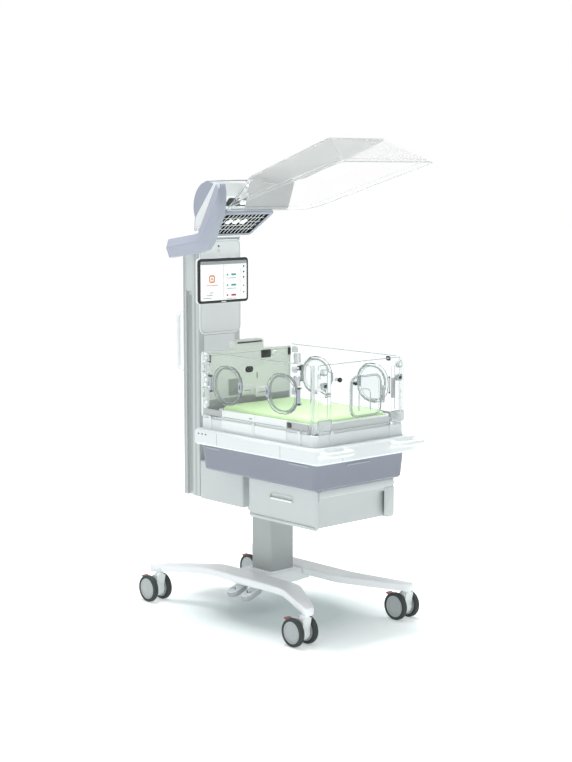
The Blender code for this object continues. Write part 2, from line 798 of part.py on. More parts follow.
# Drawer.
def make_drawer_frame():
    """The fixed carrier under the tub: a top plate, two runners and the closed right end."""
    left = DRAWER_FACE_X + DRAWER_FACE_THICKNESS + RUN
    top = TUB_BOTTOM - FIT
    part = slab(
        "drawer_frame", "Z", (top - DRAWER_PLATE, top), (left, DRAWER_FRAME_END), (DRAWER_FOOT, DRAWER_HEAD), 0.006,
    )
    end = slab(
        "end", "X", (DRAWER_END_X + 0.008, DRAWER_FRAME_END), (DRAWER_FOOT, DRAWER_HEAD),
        (DRAWER_BOTTOM, top - 0.004), 0.010, 0.004, 3,
    )
    pieces = [end]
    for face, way in ((DRAWER_FOOT, 1.0), (DRAWER_HEAD, -1.0)):
        web = sorted((face, face + way * RUNNER_WEB))
        shelf = sorted((face, face + way * (RUNNER_WEB + RUNNER_SHELF)))
        pieces.append(slab(
            "web", "Y", web, (left, DRAWER_FRAME_END - 0.012), (RUNNER_LOW, top - 0.004), 0.001, 0.0, 1,
        ))
        pieces.append(slab(
            "shelf", "Y", shelf, (left, DRAWER_FRAME_END - 0.012), (RUNNER_LOW, RUNNER_LOW + RUNNER_THICKNESS),
            0.001, 0.0, 1,
        ))
    join(part, *pieces)
    return part


def make_drawer():
    """The sliding drawer: face, open box and the two lips that ride on the runners."""
    body_foot = DRAWER_FOOT + RUNNER_WEB + RUNNER_SHELF + 0.002
    body_head = DRAWER_HEAD - RUNNER_WEB - RUNNER_SHELF - 0.002
    body_left = DRAWER_FACE_X + DRAWER_FACE_THICKNESS - 0.004
    body_top = TUB_BOTTOM - FIT - DRAWER_PLATE - 0.004
    part = slab(
        "drawer", "X", (DRAWER_FACE_X, DRAWER_FACE_X + DRAWER_FACE_THICKNESS), (DRAWER_FOOT, DRAWER_HEAD),
        (DRAWER_BOTTOM, DRAWER_TOP), 0.014, 0.003, 3,
    )
    loops = []
    for inset, level in ((0.0, DRAWER_BOTTOM + 0.006), (0.0, body_top), (DRAWER_WALL, body_top),
                         (DRAWER_WALL, DRAWER_BOTTOM + 0.006 + DRAWER_WALL)):
        outline = rounded_outline(
            body_left + inset, DRAWER_END_X - inset, body_foot + inset, body_head - inset,
            0.010 - inset, 2,
        )
        loops.append([Vector((u, v, level)) for u, v in outline])
    box = solid("box", loops)
    join(part, box)
    lip_low = RUNNER_LOW + RUNNER_THICKNESS + FIT
    for face, edge, way in ((DRAWER_FOOT, body_foot, 1.0), (DRAWER_HEAD, body_head, -1.0)):
        reach = sorted((face + way * (RUNNER_WEB + RUN), edge + way * DRAWER_WALL * 0.5))
        lip = slab("lip", "Y", reach, (body_left, DRAWER_END_X - 0.012), (lip_low, lip_low + 0.008), 0.001, 0.0, 1)
        join(part, lip)
    grip = slab(
        "grip", "X", (DRAWER_FACE_X - 0.01, body_left + DRAWER_WALL + 0.01), (DRAWER_GRIP_FOOT, DRAWER_GRIP_HEAD),
        (DRAWER_GRIP_LOW, DRAWER_GRIP_HIGH), 0.009, 0.0, 3,
    )
    cut(part, grip)
    settle(part, (DRAWER_FACE_X, (DRAWER_FOOT + DRAWER_HEAD) / 2.0, DRAWER_BOTTOM))
    return part


# Tub and platform.
def make_tub():
    top = PLATFORM_BOTTOM - FIT
    levels = (
        (TUB_BOTTOM, 0.0, 0.008), (TUB_BOTTOM + 0.008, 0.001, 0.0), (top, TUB_FLARE, 0.0),
        (top, TUB_FLARE, TUB_WALL), (TUB_BOTTOM + TUB_WALL + 0.006, 0.001, TUB_WALL),
        (TUB_BOTTOM + TUB_WALL, 0.0, TUB_WALL + 0.008),
    )
    loops = []
    for level, flare, inset in levels:
        grow = flare - inset
        outline = rounded_outline(
            -TUB_HALF_WIDTH - grow, TUB_HALF_WIDTH + grow, TUB_FRONT - grow, TUB_REAR + grow,
            TUB_CORNER + grow, 4,
        )
        loops.append([Vector((u, v, level)) for u, v in outline])
    return solid("bed_tub", loops)


def make_platform():
    """The ring that carries the walls, with a raised rim and hinge lugs."""
    outer = (-PLATFORM_HALF_WIDTH, PLATFORM_HALF_WIDTH, PLATFORM_FRONT, PLATFORM_REAR)
    rim_out = (-RIM_OUTER, RIM_OUTER, RIM_FRONT, RIM_REAR)
    rim_in = (-RIM_INNER, RIM_INNER, RIM_FRONT + RIM_OUTER - RIM_INNER, RIM_REAR - RIM_OUTER + RIM_INNER)
    edge = PLATFORM_EDGE
    sections = (
        (outer, edge, PLATFORM_BOTTOM), (outer, 0.0, PLATFORM_BOTTOM + edge),
        (outer, 0.0, PLATFORM_TOP - edge), (outer, edge, PLATFORM_TOP),
        (rim_out, 0.0, PLATFORM_TOP), (rim_out, 0.0, RIM_TOP),
        (rim_in, 0.0, RIM_TOP), (rim_in, 0.0, PLATFORM_BOTTOM),
    )
    loops = []
    for frame, inset, level in sections:
        corner = PLATFORM_CORNER if frame is outer else RIM_CORNER
        if frame is rim_in:
            corner = RIM_CORNER - (RIM_OUTER - RIM_INNER)
        outline = rounded_outline(
            frame[0] + inset, frame[1] - inset, frame[2] + inset, frame[3] - inset, corner - inset, 3,
        )
        loops.append([Vector((u, v, level)) for u, v in outline])
    part = solid("platform_frame", loops, ring=True)
    for lug in wall_lugs():
        join(part, lug)
    cut(part, *wall_pin_holes())
    return part


def side_lug_places():
    """Y of the side walls' hinge lugs."""
    return (WALL_FOOT_END + 0.060, (WALL_FOOT_END + WALL_HEAD_END) / 2.0, WALL_HEAD_END - 0.060)


def foot_lug_places():
    """X of the foot wall's hinge lugs."""
    return (-0.180, 0.180)


def lug_outline(axis_u, base_u):
    """A hinge lug's outline, from its pin down to the platform's top."""
    return hull(
        circle(axis_u, HINGE_Z, HINGE_RADIUS, 10)
        + [(base_u, PLATFORM_TOP - 0.004), (axis_u, PLATFORM_TOP - 0.004), (base_u, RIM_TOP - 0.004)]
    )


def wall_lugs():
    lugs = []
    half = HINGE_LUG / 2.0
    for side in (-1.0, 1.0):
        axis_x = side * (WALL_OUTER + HINGE_OFFSET)
        base = side * (RIM_OUTER - 0.003)
        for y in side_lug_places():
            lugs.append(prism("lug", "Y", lug_outline(axis_x, base), y - half, y + half))
    axis_y = WALL_FOOT_FACE - HINGE_OFFSET
    for x in foot_lug_places():
        lugs.append(prism("lug", "X", lug_outline(axis_y, RIM_FRONT + 0.003), x - half, x + half))
    return lugs


def wall_pin_holes():
    holes = []
    for side in (-1.0, 1.0):
        axis_x = side * (WALL_OUTER + HINGE_OFFSET)
        outline = circle(axis_x, HINGE_Z, HINGE_PIN + RUN, 10)
        holes.append(prism("hole", "Y", outline, WALL_FOOT_END, WALL_HEAD_END))
    axis_y = WALL_FOOT_FACE - HINGE_OFFSET
    outline = circle(axis_y, HINGE_Z, HINGE_PIN + RUN, 10)
    holes.append(prism("hole", "X", outline, -WALL_OUTER, WALL_OUTER))
    return holes


def make_foot_handle(name, side):
    """A bar handle on the foot end of the platform."""
    start = PLATFORM_FRONT - FIT
    reach = PLATFORM_FRONT - FOOT_HANDLE_REACH
    bend = 0.024
    inner = FOOT_HANDLE_INNER
    outer = FOOT_HANDLE_OUTER
    points = [(inner, start)]
    points += arc(inner + bend, reach + bend, bend, 180.0, 270.0, 3)
    points += arc(outer - bend, reach + bend, bend, 270.0, 360.0, 3)
    points += [(outer, start)]
    loops = []
    for index, (x, y) in enumerate(points):
        before = points[max(index - 1, 0)]
        after = points[min(index + 1, len(points) - 1)]
        forward = Vector((after[0] - before[0], after[1] - before[1], 0.0)).normalized()
        if index in (0, len(points) - 1):
            forward = Vector((0.0, -1.0 if index == 0 else 1.0, 0.0))
        across = Vector((-forward.y, forward.x, 0.0))
        ring = []
        for step in range(8):
            angle = 2.0 * math.pi * (step + 0.5) / 8
            offset = FOOT_HANDLE_RADIUS * (math.cos(angle) * across + math.sin(angle) * Vector((0.0, 0.0, 1.0)))
            point = Vector((x, y, FOOT_HANDLE_Z)) + offset
            ring.append(Vector((side * point.x, point.y, point.z)))
        loops.append(ring)
    return solid(name, loops)


# Clear walls.
def knuckle_outline(axis_u, face_u):
    """The hinge side of a wall: round outside the axis, flat against the wall."""
    way = 1.0 if axis_u > face_u else -1.0
    top = HINGE_Z + HINGE_RADIUS + 0.004
    start = 0.0 if way > 0.0 else 180.0
    curve = arc(axis_u, HINGE_Z, HINGE_RADIUS, start, -90.0 if way > 0.0 else 270.0, 3)
    inner = face_u - way * 0.002
    return [(axis_u + way * HINGE_RADIUS, top)] + curve + [(inner, HINGE_Z - HINGE_RADIUS), (inner, top)]


def wall_hinge(axis, axis_u, face_u, low, high, lugs):
    """Knuckle segments between the lugs, with one pin through them all."""
    gap = HINGE_LUG / 2.0 + FIT
    ends = [low + 0.012]
    for place in lugs:
        ends += [place - gap, place + gap]
    ends.append(high - 0.012)
    pieces = []
    for start, end in zip(ends[0::2], ends[1::2]):
        pieces.append(prism("knuckle", axis, knuckle_outline(axis_u, face_u), start, end))
    pieces.append(prism("pin", axis, circle(axis_u, HINGE_Z, HINGE_PIN, 8), ends[0] + 0.002, ends[-1] - 0.002))
    return pieces


def door_axis(side):
    """X of the port doors' hinge axes on one side."""
    return side * (WALL_OUTER + FIT + DOOR_THICKNESS + 0.002)


def door_hinge_y(name):
    """Y of a port door's hinge: beyond the end that is away from its neighbour."""
    half = PORT_WIDTH / 2.0 + DOOR_LIP + DOOR_KNUCKLE + 0.004
    if name == "rear":
        return PORT_REAR_Y + half
    return PORT_FRONT_Y - half


def make_side_wall(name, side):
    outer = side * WALL_OUTER
    inner = side * (WALL_OUTER - WALL_THICKNESS)
    span = sorted((outer, inner))
    part = slab(
        name, "X", span, (WALL_FOOT_END, WALL_HEAD_END), (RIM_TOP + FIT + 0.0002, WALL_TOP), 0.012, 0.0, 3,
    )
    axis_x = side * (WALL_OUTER + HINGE_OFFSET)
    rail_low = HINGE_Z + HINGE_RADIUS + 0.001
    rail_span = sorted((side * (WALL_OUTER - 0.002), side * (WALL_OUTER + WALL_RAIL_DEPTH)))
    rail = slab(
        "rail", "X", rail_span, (WALL_FOOT_END + 0.008, WALL_HEAD_END - 0.008), (rail_low, WALL_RAIL_TOP), 0.003, 0.0, 1,
    )
    pieces = wall_hinge("Y", axis_x, outer, WALL_FOOT_END, WALL_HEAD_END, side_lug_places())
    join(part, rail, *pieces)
    axis_door = door_axis(side)
    for port, middle in (("rear", PORT_REAR_Y), ("front", PORT_FRONT_Y)):
        hinge_y = door_hinge_y(port)
        for way in (-1.0, 1.0):
            near = PORT_Z + way * (DOOR_KNUCKLE_LENGTH / 2.0 + FIT)
            far = near + way * DOOR_LUG
            shape = hull(
                circle(axis_door, hinge_y, DOOR_KNUCKLE, 10)
                + [(outer - side * 0.002, hinge_y - DOOR_KNUCKLE), (outer - side * 0.002, hinge_y + DOOR_KNUCKLE)]
            )
            join(part, prism("lug", "Z", shape, min(near, far), max(near, far)))
        hole = prism(
            "hole", "Z", circle(axis_door, hinge_y, DOOR_PIN + RUN, 10),
            PORT_Z - DOOR_KNUCKLE_LENGTH / 2.0 - 0.02, PORT_Z + DOOR_KNUCKLE_LENGTH / 2.0 + 0.02,
        )
        half_w = PORT_WIDTH / 2.0
        half_h = PORT_HEIGHT / 2.0
        port_cut = slab(
            "port", "X", (span[0] - 0.02, span[1] + 0.02), (middle - half_w, middle + half_w),
            (PORT_Z - half_h, PORT_Z + half_h), PORT_CORNER, 0.0, 4,
        )
        cut(part, hole, port_cut)
    settle(part, (axis_x, (WALL_FOOT_END + WALL_HEAD_END) / 2.0, HINGE_Z))
    return part


def make_port_door(name, side, port):
    """A port door: an oval plate with a hinge knuckle at its outer end."""
    middle = PORT_REAR_Y if port == "rear" else PORT_FRONT_Y
    face = WALL_OUTER + FIT
    span = sorted((side * face, side * (face + DOOR_THICKNESS)))
    half_w = PORT_WIDTH / 2.0 + DOOR_LIP
    half_h = PORT_HEIGHT / 2.0 + DOOR_LIP
    part = slab(
        name, "X", span, (middle - half_w, middle + half_w), (PORT_Z - half_h, PORT_Z + half_h),
        PORT_CORNER + DOOR_LIP, 0.002, 4,
    )
    hinge_y = door_hinge_y(port)
    way = 1.0 if port == "rear" else -1.0
    axis_x = door_axis(side)
    knuckle = barrel(
        "knuckle", "Z", (axis_x, hinge_y), PORT_Z, DOOR_KNUCKLE_LENGTH, DOOR_KNUCKLE, DOOR_PIN, DOOR_LUG, 10,
    )
    arm_ends = sorted((hinge_y, middle + way * (half_w - 0.016)))
    arm = slab(
        "arm", "X", sorted((side * (face + 0.003), side * (face + DOOR_THICKNESS))), arm_ends,
        (PORT_Z - DOOR_KNUCKLE_LENGTH / 2.0, PORT_Z + DOOR_KNUCKLE_LENGTH / 2.0), 0.001, 0.0, 1,
    )
    join(part, arm, knuckle)
    settle(part, (axis_x, hinge_y, PORT_Z))
    return part


def hatch_axis():
    """X and Y of the foot hatch's hinge axis, on its right side."""
    return (HATCH_RIGHT + HATCH_LIP + DOOR_KNUCKLE + 0.002, WALL_FOOT_FACE - FIT - DOOR_THICKNESS - 0.002)


def make_foot_wall():
    """The foot wall: a clear sheet whose ends turn round the corners."""
    outer_y = WALL_FOOT_FACE
    inner_y = WALL_FOOT_FACE + WALL_THICKNESS
    half = WALL_OUTER - 0.001
    radius = WALL_RETURN
    outline = arc(-half + radius, outer_y + radius, radius, 180.0, 270.0, 5)
    outline += arc(half - radius, outer_y + radius, radius, 270.0, 360.0, 5)
    shrink = radius - WALL_THICKNESS
    outline += arc(half - radius, outer_y + radius, shrink, 360.0, 270.0, 5)
    outline += arc(-half + radius, outer_y + radius, shrink, 270.0, 180.0, 5)
    part = prism("wall_foot", "Z", outline, RIM_TOP + FIT + 0.0002, WALL_TOP)
    axis_y = WALL_FOOT_FACE - HINGE_OFFSET
    edge = half - radius
    rail = slab(
        "rail", "Y", (outer_y - WALL_RAIL_DEPTH, outer_y + 0.002), (-edge, edge),
        (HINGE_Z + HINGE_RADIUS + 0.001, WALL_RAIL_TOP), 0.003, 0.0, 1,
    )
    join(part, rail, *wall_hinge("X", axis_y, outer_y, -edge, edge, foot_lug_places()))
    hinge_x, hinge_y = hatch_axis()
    middle = (HATCH_LOW + HATCH_HIGH) / 2.0
    for way in (-1.0, 1.0):
        near = middle + way * (DOOR_KNUCKLE_LENGTH / 2.0 + FIT)
        far = near + way * DOOR_LUG
        shape = hull(
            circle(hinge_x, hinge_y, DOOR_KNUCKLE, 10)
            + [(hinge_x - DOOR_KNUCKLE, outer_y + 0.002), (hinge_x + DOOR_KNUCKLE, outer_y + 0.002)]
        )
        join(part, prism("lug", "Z", shape, min(near, far), max(near, far)))
    hole = prism(
        "hole", "Z", circle(hinge_x, hinge_y, DOOR_PIN + RUN, 10),
        middle - DOOR_KNUCKLE_LENGTH / 2.0 - 0.02, middle + DOOR_KNUCKLE_LENGTH / 2.0 + 0.02,
    )
    port = slab(
        "port", "Y", (outer_y - 0.02, inner_y + 0.02), (HATCH_LEFT, HATCH_RIGHT), (HATCH_LOW, HATCH_HIGH),
        HATCH_CORNER, 0.0, 4,
    )
    knob_hole = prism("knob_hole", "Y", circle(KNOB_X, KNOB_Z, KNOB_RADIUS * 0.4 + RUN, 12), outer_y - 0.02, inner_y + 0.02)
    cut(part, hole, port, knob_hole)
    settle(part, (0.0, axis_y, HINGE_Z))
    return part


def make_hatch():
    """The foot hatch, hinged on its right side."""
    face = WALL_FOOT_FACE - FIT
    low = HATCH_LOW - HATCH_LIP
    high = HATCH_HIGH + HATCH_LIP
    part = slab(
        "foot_hatch", "Y", (face - DOOR_THICKNESS, face), (HATCH_LEFT - HATCH_LIP, HATCH_RIGHT + HATCH_LIP),
        (low + 0.004, high), HATCH_CORNER + HATCH_LIP, 0.002, 4,
    )
    hinge_x, hinge_y = hatch_axis()
    middle = (HATCH_LOW + HATCH_HIGH) / 2.0
    knuckle = barrel(
        "knuckle", "Z", (hinge_x, hinge_y), middle, DOOR_KNUCKLE_LENGTH, DOOR_KNUCKLE, DOOR_PIN, DOOR_LUG, 10,
    )
    arm = slab(
        "arm", "Y", (face - DOOR_THICKNESS, face - 0.003), (HATCH_RIGHT, hinge_x),
        (middle - DOOR_KNUCKLE_LENGTH / 2.0, middle + DOOR_KNUCKLE_LENGTH / 2.0), 0.001, 0.0, 1,
    )
    join(part, arm, knuckle)
    settle(part, (hinge_x, hinge_y, middle))
    return part


def make_knob():
    """The turning knob that locks the foot wall, with its shaft and inner tongue."""
    radius = KNOB_RADIUS
    face = WALL_FOOT_FACE
    shaft = radius * 0.4
    inside = WALL_FOOT_FACE + WALL_THICKNESS
    profile = [
        (face - FIT - 2.2 * radius, radius * 0.5), (face - FIT - 1.8 * radius, radius * 0.9),
        (face - FIT - 1.1 * radius, radius), (face - FIT - 0.5 * radius, radius * 0.7),
        (face - FIT, radius * 0.75), (face - FIT, shaft), (inside + FIT, shaft),
        (inside + FIT, radius * 0.8), (inside + 0.005, radius * 0.8),
    ]
    part = turned("foot_wall_knob", "Y", (KNOB_X, KNOB_Z), profile, 12)
    settle(part, (KNOB_X, face, KNOB_Z))
    return part


# Console.
def make_console():
    low = RIM_TOP + FIT
    part = slab(
        "head_console", "Y", (CONSOLE_FACE, CONSOLE_REAR), (-CONSOLE_HALF_WIDTH, CONSOLE_HALF_WIDTH),
        (low, CONSOLE_TOP), 0.012, 0.004, 3,
    )
    rise = slab(
        "rise", "Y", (CONSOLE_FACE + 0.002, CONSOLE_REAR - 0.002), (-CONSOLE_RISE_HALF_WIDTH, CONSOLE_RISE_HALF_WIDTH),
        (CONSOLE_TOP - 0.030, CONSOLE_TOP + CONSOLE_RISE), 0.014, 0.004, 3,
    )
    join(part, rise)
    slot_half = CONSOLE_RISE_HALF_WIDTH - 0.014
    slot = slab(
        "slot", "Y", (CONSOLE_FACE - 0.01, CONSOLE_FACE + 0.010), (-slot_half, slot_half),
        (CONSOLE_TOP + CONSOLE_RISE - 0.016, CONSOLE_TOP + CONSOLE_RISE - 0.009), 0.003, 0.0, 2,
    )
    cut(part, slot)
    return part


# Mattress, tray and tilt support.
def make_tray():
    """The mattress tray, with a finger pull at its foot and the knuckle it tilts on."""
    floor = TRAY_BOTTOM + TRAY_FLOOR
    loops = []
    for inset, level in ((0.006, TRAY_BOTTOM), (0.0, TRAY_BOTTOM + 0.006), (0.0, TRAY_TOP),
                         (TRAY_WALL, TRAY_TOP), (TRAY_WALL, floor)):
        outline = rounded_outline(
            -TRAY_HALF_WIDTH + inset, TRAY_HALF_WIDTH - inset, TRAY_FOOT + inset, TRAY_HEAD - inset,
            TRAY_CORNER - inset, 3,
        )
        loops.append([Vector((u, v, level)) for u, v in outline])
    part = solid("mattress_tray", loops)
    knuckle = barrel(
        "knuckle", "X", (TILT_PIVOT_Y, TILT_PIVOT_Z), 0.0, TILT_KNUCKLE_LENGTH, TILT_KNUCKLE, TILT_PIN, TILT_LUG, 12,
    )
    half = TILT_KNUCKLE_LENGTH / 2.0
    web = prism(
        "web", "X",
        [(TILT_PIVOT_Y - 0.008, TILT_PIVOT_Z), (TILT_PIVOT_Y + 0.008, TILT_PIVOT_Z),
         (TILT_PIVOT_Y + 0.020, TRAY_BOTTOM + 0.003), (TILT_PIVOT_Y - 0.020, TRAY_BOTTOM + 0.003)],
        -half, half,
    )
    join(part, web, knuckle)
    pull = slab(
        "pull", "Y", (TRAY_FOOT - 0.01, TRAY_FOOT + 0.004), (-0.067, 0.067),
        (TRAY_BOTTOM + 0.010, TRAY_TOP - 0.008), 0.006, 0.0, 2,
    )
    cut(part, pull)
    settle(part, (0.0, TILT_PIVOT_Y, TILT_PIVOT_Z))
    return part


def make_mattress():
    inset = TRAY_WALL + MATTRESS_SIDE_GAP
    low = TRAY_BOTTOM + TRAY_FLOOR + FIT
    loops = []
    for level, crown in ((low, 0.006), (low + 0.010, 0.0), (MATTRESS_TOP - 0.010, 0.0), (MATTRESS_TOP, 0.012)):
        outline = rounded_outline(
            -TRAY_HALF_WIDTH + inset + crown, TRAY_HALF_WIDTH - inset - crown,
            TRAY_FOOT + inset + crown, TRAY_HEAD - inset - crown, TRAY_CORNER - inset, 3,
        )
        loops.append([Vector((u, v, level)) for u, v in outline])
    part = solid("mattress", loops)
    return part


def make_tilt_support():
    """The post inside the tub that carries the tray's pivot."""
    floor = TUB_BOTTOM + TUB_WALL + FIT
    half = TILT_KNUCKLE_LENGTH / 2.0
    reach = half + FIT + TILT_LUG
    part = slab(
        "tilt_support", "Z", (floor, floor + 0.006), (-reach - 0.030, reach + 0.030),
        (TILT_PIVOT_Y - 0.060, TILT_PIVOT_Y + 0.060), 0.012, 0.0, 2,
    )
    post_top = TILT_PIVOT_Z - TILT_KNUCKLE - 0.012
    post = slab(
        "post", "Z", (floor + 0.003, post_top), (-reach, reach),
        (TILT_PIVOT_Y - TILT_POST_HALF_DEPTH, TILT_PIVOT_Y + TILT_POST_HALF_DEPTH), 0.006, 0.0, 2,
    )
    join(part, post)
    for side in (-1.0, 1.0):
        span = sorted((side * (half + FIT), side * reach))
        shape = hull(
            circle(TILT_PIVOT_Y, TILT_PIVOT_Z, TILT_KNUCKLE, 12)
            + [(TILT_PIVOT_Y - 0.022, post_top - 0.003), (TILT_PIVOT_Y + 0.022, post_top - 0.003)]
        )
        join(part, prism("lug", "X", shape, span[0], span[1]))
    hole = prism("hole", "X", circle(TILT_PIVOT_Y, TILT_PIVOT_Z, TILT_PIN + RUN, 12), -reach - 0.01, reach + 0.01)
    cut(part, hole)
    return part


# Hood.
def make_carriage():
    """The slider in the left rail's groove and the block that carries the arm."""
    floor = -(HOUSING_HALF_WIDTH - GROOVE_DEPTH) - RUN
    part = slab(
        "hood_carriage", "X", (-HOUSING_HALF_WIDTH + 0.001, floor), (GROOVE_FRONT + RUN, GROOVE_REAR - RUN),
        (CARRIAGE_BOTTOM, CARRIAGE_TOP), 0.002, 0.0, 1,
    )
    block = slab(
        "block", "X", (ARM_INNER_X + FIT, floor - 0.003), (GROOVE_FRONT + RUN, GROOVE_REAR - RUN),
        (CARRIAGE_BLOCK_BOTTOM, CARRIAGE_TOP), 0.004, 0.0, 2,
    )
    join(part, block)
    return part


def arm_stations():
    """Sections along the arm, from the tower to its nose: top, ridge and underside in Y and Z."""
    return (
        ((0.487, 1.694), (0.478, 1.654), (0.481, 1.607)),
        ((0.300, 1.721), (0.285, 1.684), (0.275, 1.638)),
        ((0.270, 1.728), (0.240, 1.692), (0.225, 1.653)),
        ((0.255, 1.755), (0.218, 1.712), (0.196, 1.680)),
        ((0.158, 1.922), (0.118, 1.870), (0.128, 1.806)),
        ((0.142, 1.948), (0.098, 1.925), (0.117, 1.862)),
        ((0.122, 1.948), (0.088, 1.934), (0.115, 1.912)),
    )


def make_arm():
    loops = []
    for top, ridge, under in arm_stations():
        loops.append([
            Vector((ARM_INNER_X, top[0], top[1])), Vector((ARM_EDGE_X, top[0], top[1])),
            Vector((ARM_RIDGE_X, ridge[0], ridge[1])), Vector((ARM_EDGE_X, under[0], under[1])),
            Vector((ARM_INNER_X, under[0], under[1])),
        ])
    return solid("hood_arm", loops)


def head_top_line(offset):
    """The head's outside from its lower rear edge over the top to its front, pushed in by offset."""
    line = arc(0.225, 1.845, 0.120 - offset, -20.0, 75.0, 7)
    start = (0.345 - offset, 1.735)
    front = (0.126, 1.965 - offset)
    return [start] + line + [front]


def make_head():
    thickness = HEAD_CAP_THICKNESS
    low_front = (0.168, 1.842)
    outline = head_top_line(thickness + FIT) + [(0.122, 1.950), (0.122, 1.892), low_front]
    left = ARM_INNER_X + FIT
    part = prism("head_housing", "X", outline, left, HEAD_RIGHT_X)
    half = YOKE_LENGTH / 2.0
    for side in (-1.0, 1.0):
        span = sorted((side * (half + FIT), side * (half + FIT + YOKE_LUG)))
        shape = hull(
            circle(CANOPY_PIVOT_Y, CANOPY_PIVOT_Z, YOKE_RADIUS, 12) + [(0.128, 1.905), (0.128, 1.955)]
        )
        join(part, prism("lug", "X", shape, span[0], span[1]))
    hole = prism(
        "hole", "X", circle(CANOPY_PIVOT_Y, CANOPY_PIVOT_Z, YOKE_PIN + RUN, 12),
        -half - YOKE_LUG - 0.01, half + YOKE_LUG + 0.01,
    )
    relief = prism(
        "relief", "X", circle(CANOPY_PIVOT_Y, CANOPY_PIVOT_Z, YOKE_RADIUS + RUN, 12), -half - FIT, half + FIT,
    )
    cut(part, hole, relief)
    outer = head_top_line(0.0)
    inner = head_top_line(thickness)
    cap = prism("head_rear_cap", "X", outer + inner[::-1], left, HEAD_RIGHT_X)
    return [(part, "shell_white"), (cap, "arm_lavender")]


def heater_place(x, along, rise):
    """A point in the slanted frame of the heater, from the middle of its lower face."""
    middle = Vector((0.0, (HEATER_FRONT_Y + HEATER_REAR_Y) / 2.0, (HEATER_FRONT_Z + HEATER_REAR_Z) / 2.0))
    forward = Vector((0.0, HEATER_FRONT_Y - HEATER_REAR_Y, HEATER_FRONT_Z - HEATER_REAR_Z)).normalized()
    normal = Vector((0.0, forward.z, -forward.y))
    return middle + Vector((x, 0.0, 0.0)) + along * forward + rise * normal


def heater_length():
    return math.hypot(HEATER_FRONT_Y - HEATER_REAR_Y, HEATER_FRONT_Z - HEATER_REAR_Z)


def heater_loop(half_x, half_along, corner, rise):
    return [heater_place(u, v, rise) for u, v in rounded_outline(-half_x, half_x, -half_along, half_along, corner, 3)]


def make_heater():
    half_x = HEATER_HALF_WIDTH
    half_a = heater_length() / 2.0
    open_x = half_x - HEATER_BORDER
    open_a = half_a - HEATER_BORDER
    depth = HEATER_DEPTH - FIT
    frame = solid(
        "heater_frame",
        [
            heater_loop(half_x - 0.003, half_a - 0.003, 0.017, 0.0), heater_loop(half_x, half_a, 0.020, 0.004),
            heater_loop(half_x, half_a, 0.020, depth), heater_loop(open_x, open_a, 0.001, depth),
            heater_loop(open_x, open_a, 0.001, 0.0),
        ],
        ring=True,
    )
    fit_x = open_x - FIT
    fit_a = open_a - FIT
    grille = solid(
        "heater_grille",
        [heater_loop(fit_x, fit_a, 0.001, 0.002), heater_loop(fit_x, fit_a, 0.001, 0.002 + GRILLE_THICKNESS)],
    )
    pitch = (2.0 * fit_a - GRILLE_BAR) / GRILLE_SLOTS
    for slot in range(GRILLE_SLOTS):
        low = -fit_a + GRILLE_BAR + slot * pitch
        high = low + pitch - GRILLE_BAR
        for side in (-1.0, 1.0):
            span = sorted((side * GRILLE_BAR / 2.0, side * (fit_x - GRILLE_BAR)))
            loops = []
            for rise in (-0.002, 0.006 + GRILLE_THICKNESS):
                outline = rounded_outline(span[0], span[1], low, high, 0.002, 1)
                loops.append([heater_place(u, v, rise) for u, v in outline])
            cut(grille, solid("slot", loops))
    reflector = make_reflector(fit_x - RUN, fit_a - RUN, depth)
    return [(frame, "arm_lavender"), (grille, "grille_black"), (reflector, "reflector")]


def make_reflector(half_x, half_a, depth):
    """Three trough reflectors in one pressing above the grille."""
    low = 0.002 + GRILLE_THICKNESS + FIT
    high = depth
    troughs = 3
    outline = [(-half_a, high), (-half_a, low)]
    pitch = (2.0 * half_a - 0.004) / troughs
    for trough in range(troughs):
        start = -half_a + 0.002 + trough * pitch
        for step in range(1, 8):
            angle = math.pi * step / 8
            along = start + pitch / 2.0 - (pitch / 2.0 - 0.002) * math.cos(angle)
            outline.append((along, low + (high - low - 0.003) * math.sin(angle)))
        if trough < troughs - 1:
            outline.append((start + pitch, low))
    outline += [(half_a, low), (half_a, high)]
    loops = []
    for x in (-half_x, half_x):
        loops.append([heater_place(x, along, rise) for along, rise in outline])
    return solid("heater_reflector", loops)


def make_lamp():
    """The examination lamp on the sloping front of the head."""
    start = Vector((0.0, 0.122, 1.892))
    end = Vector((0.0, 0.168, 1.842))
    along = (end - start).normalized()
    out = Vector((0.0, along.z, -along.y))
    middle = (start + end) / 2.0
    loops = []
    half_x = (LAMP_RIGHT - LAMP_LEFT) / 2.0
    centre = (LAMP_LEFT + LAMP_RIGHT) / 2.0
    for rise, inset in ((FIT, 0.0), (LAMP_THICKNESS - 0.002, 0.0), (LAMP_THICKNESS, 0.003)):
        outline = rounded_outline(-half_x + inset, half_x - inset, -0.013 + inset, 0.013 - inset, 0.010 - inset, 3)
        loops.append([middle + Vector((centre + u, 0.0, 0.0)) + v * along + rise * out for u, v in outline])
    return solid("work_lamp", loops)


# Canopy.
def canopy_place(x, forward, height):
    """A point in the canopy's own frame, from the middle of its rear rim."""
    tilt = math.radians(CANOPY_TILT)
    y = CANOPY_REAR_Y - forward * math.cos(tilt) + height * math.sin(tilt)
    z = CANOPY_REAR_Z + forward * math.sin(tilt) + height * math.cos(tilt)
    return Vector((x, y, z))


def canopy_top_height(forward):
    share = (forward - CANOPY_TOP_REAR) / (CANOPY_TOP_FRONT - CANOPY_TOP_REAR)
    return CANOPY_HEIGHT_REAR + share * (CANOPY_HEIGHT_FRONT - CANOPY_HEIGHT_REAR)


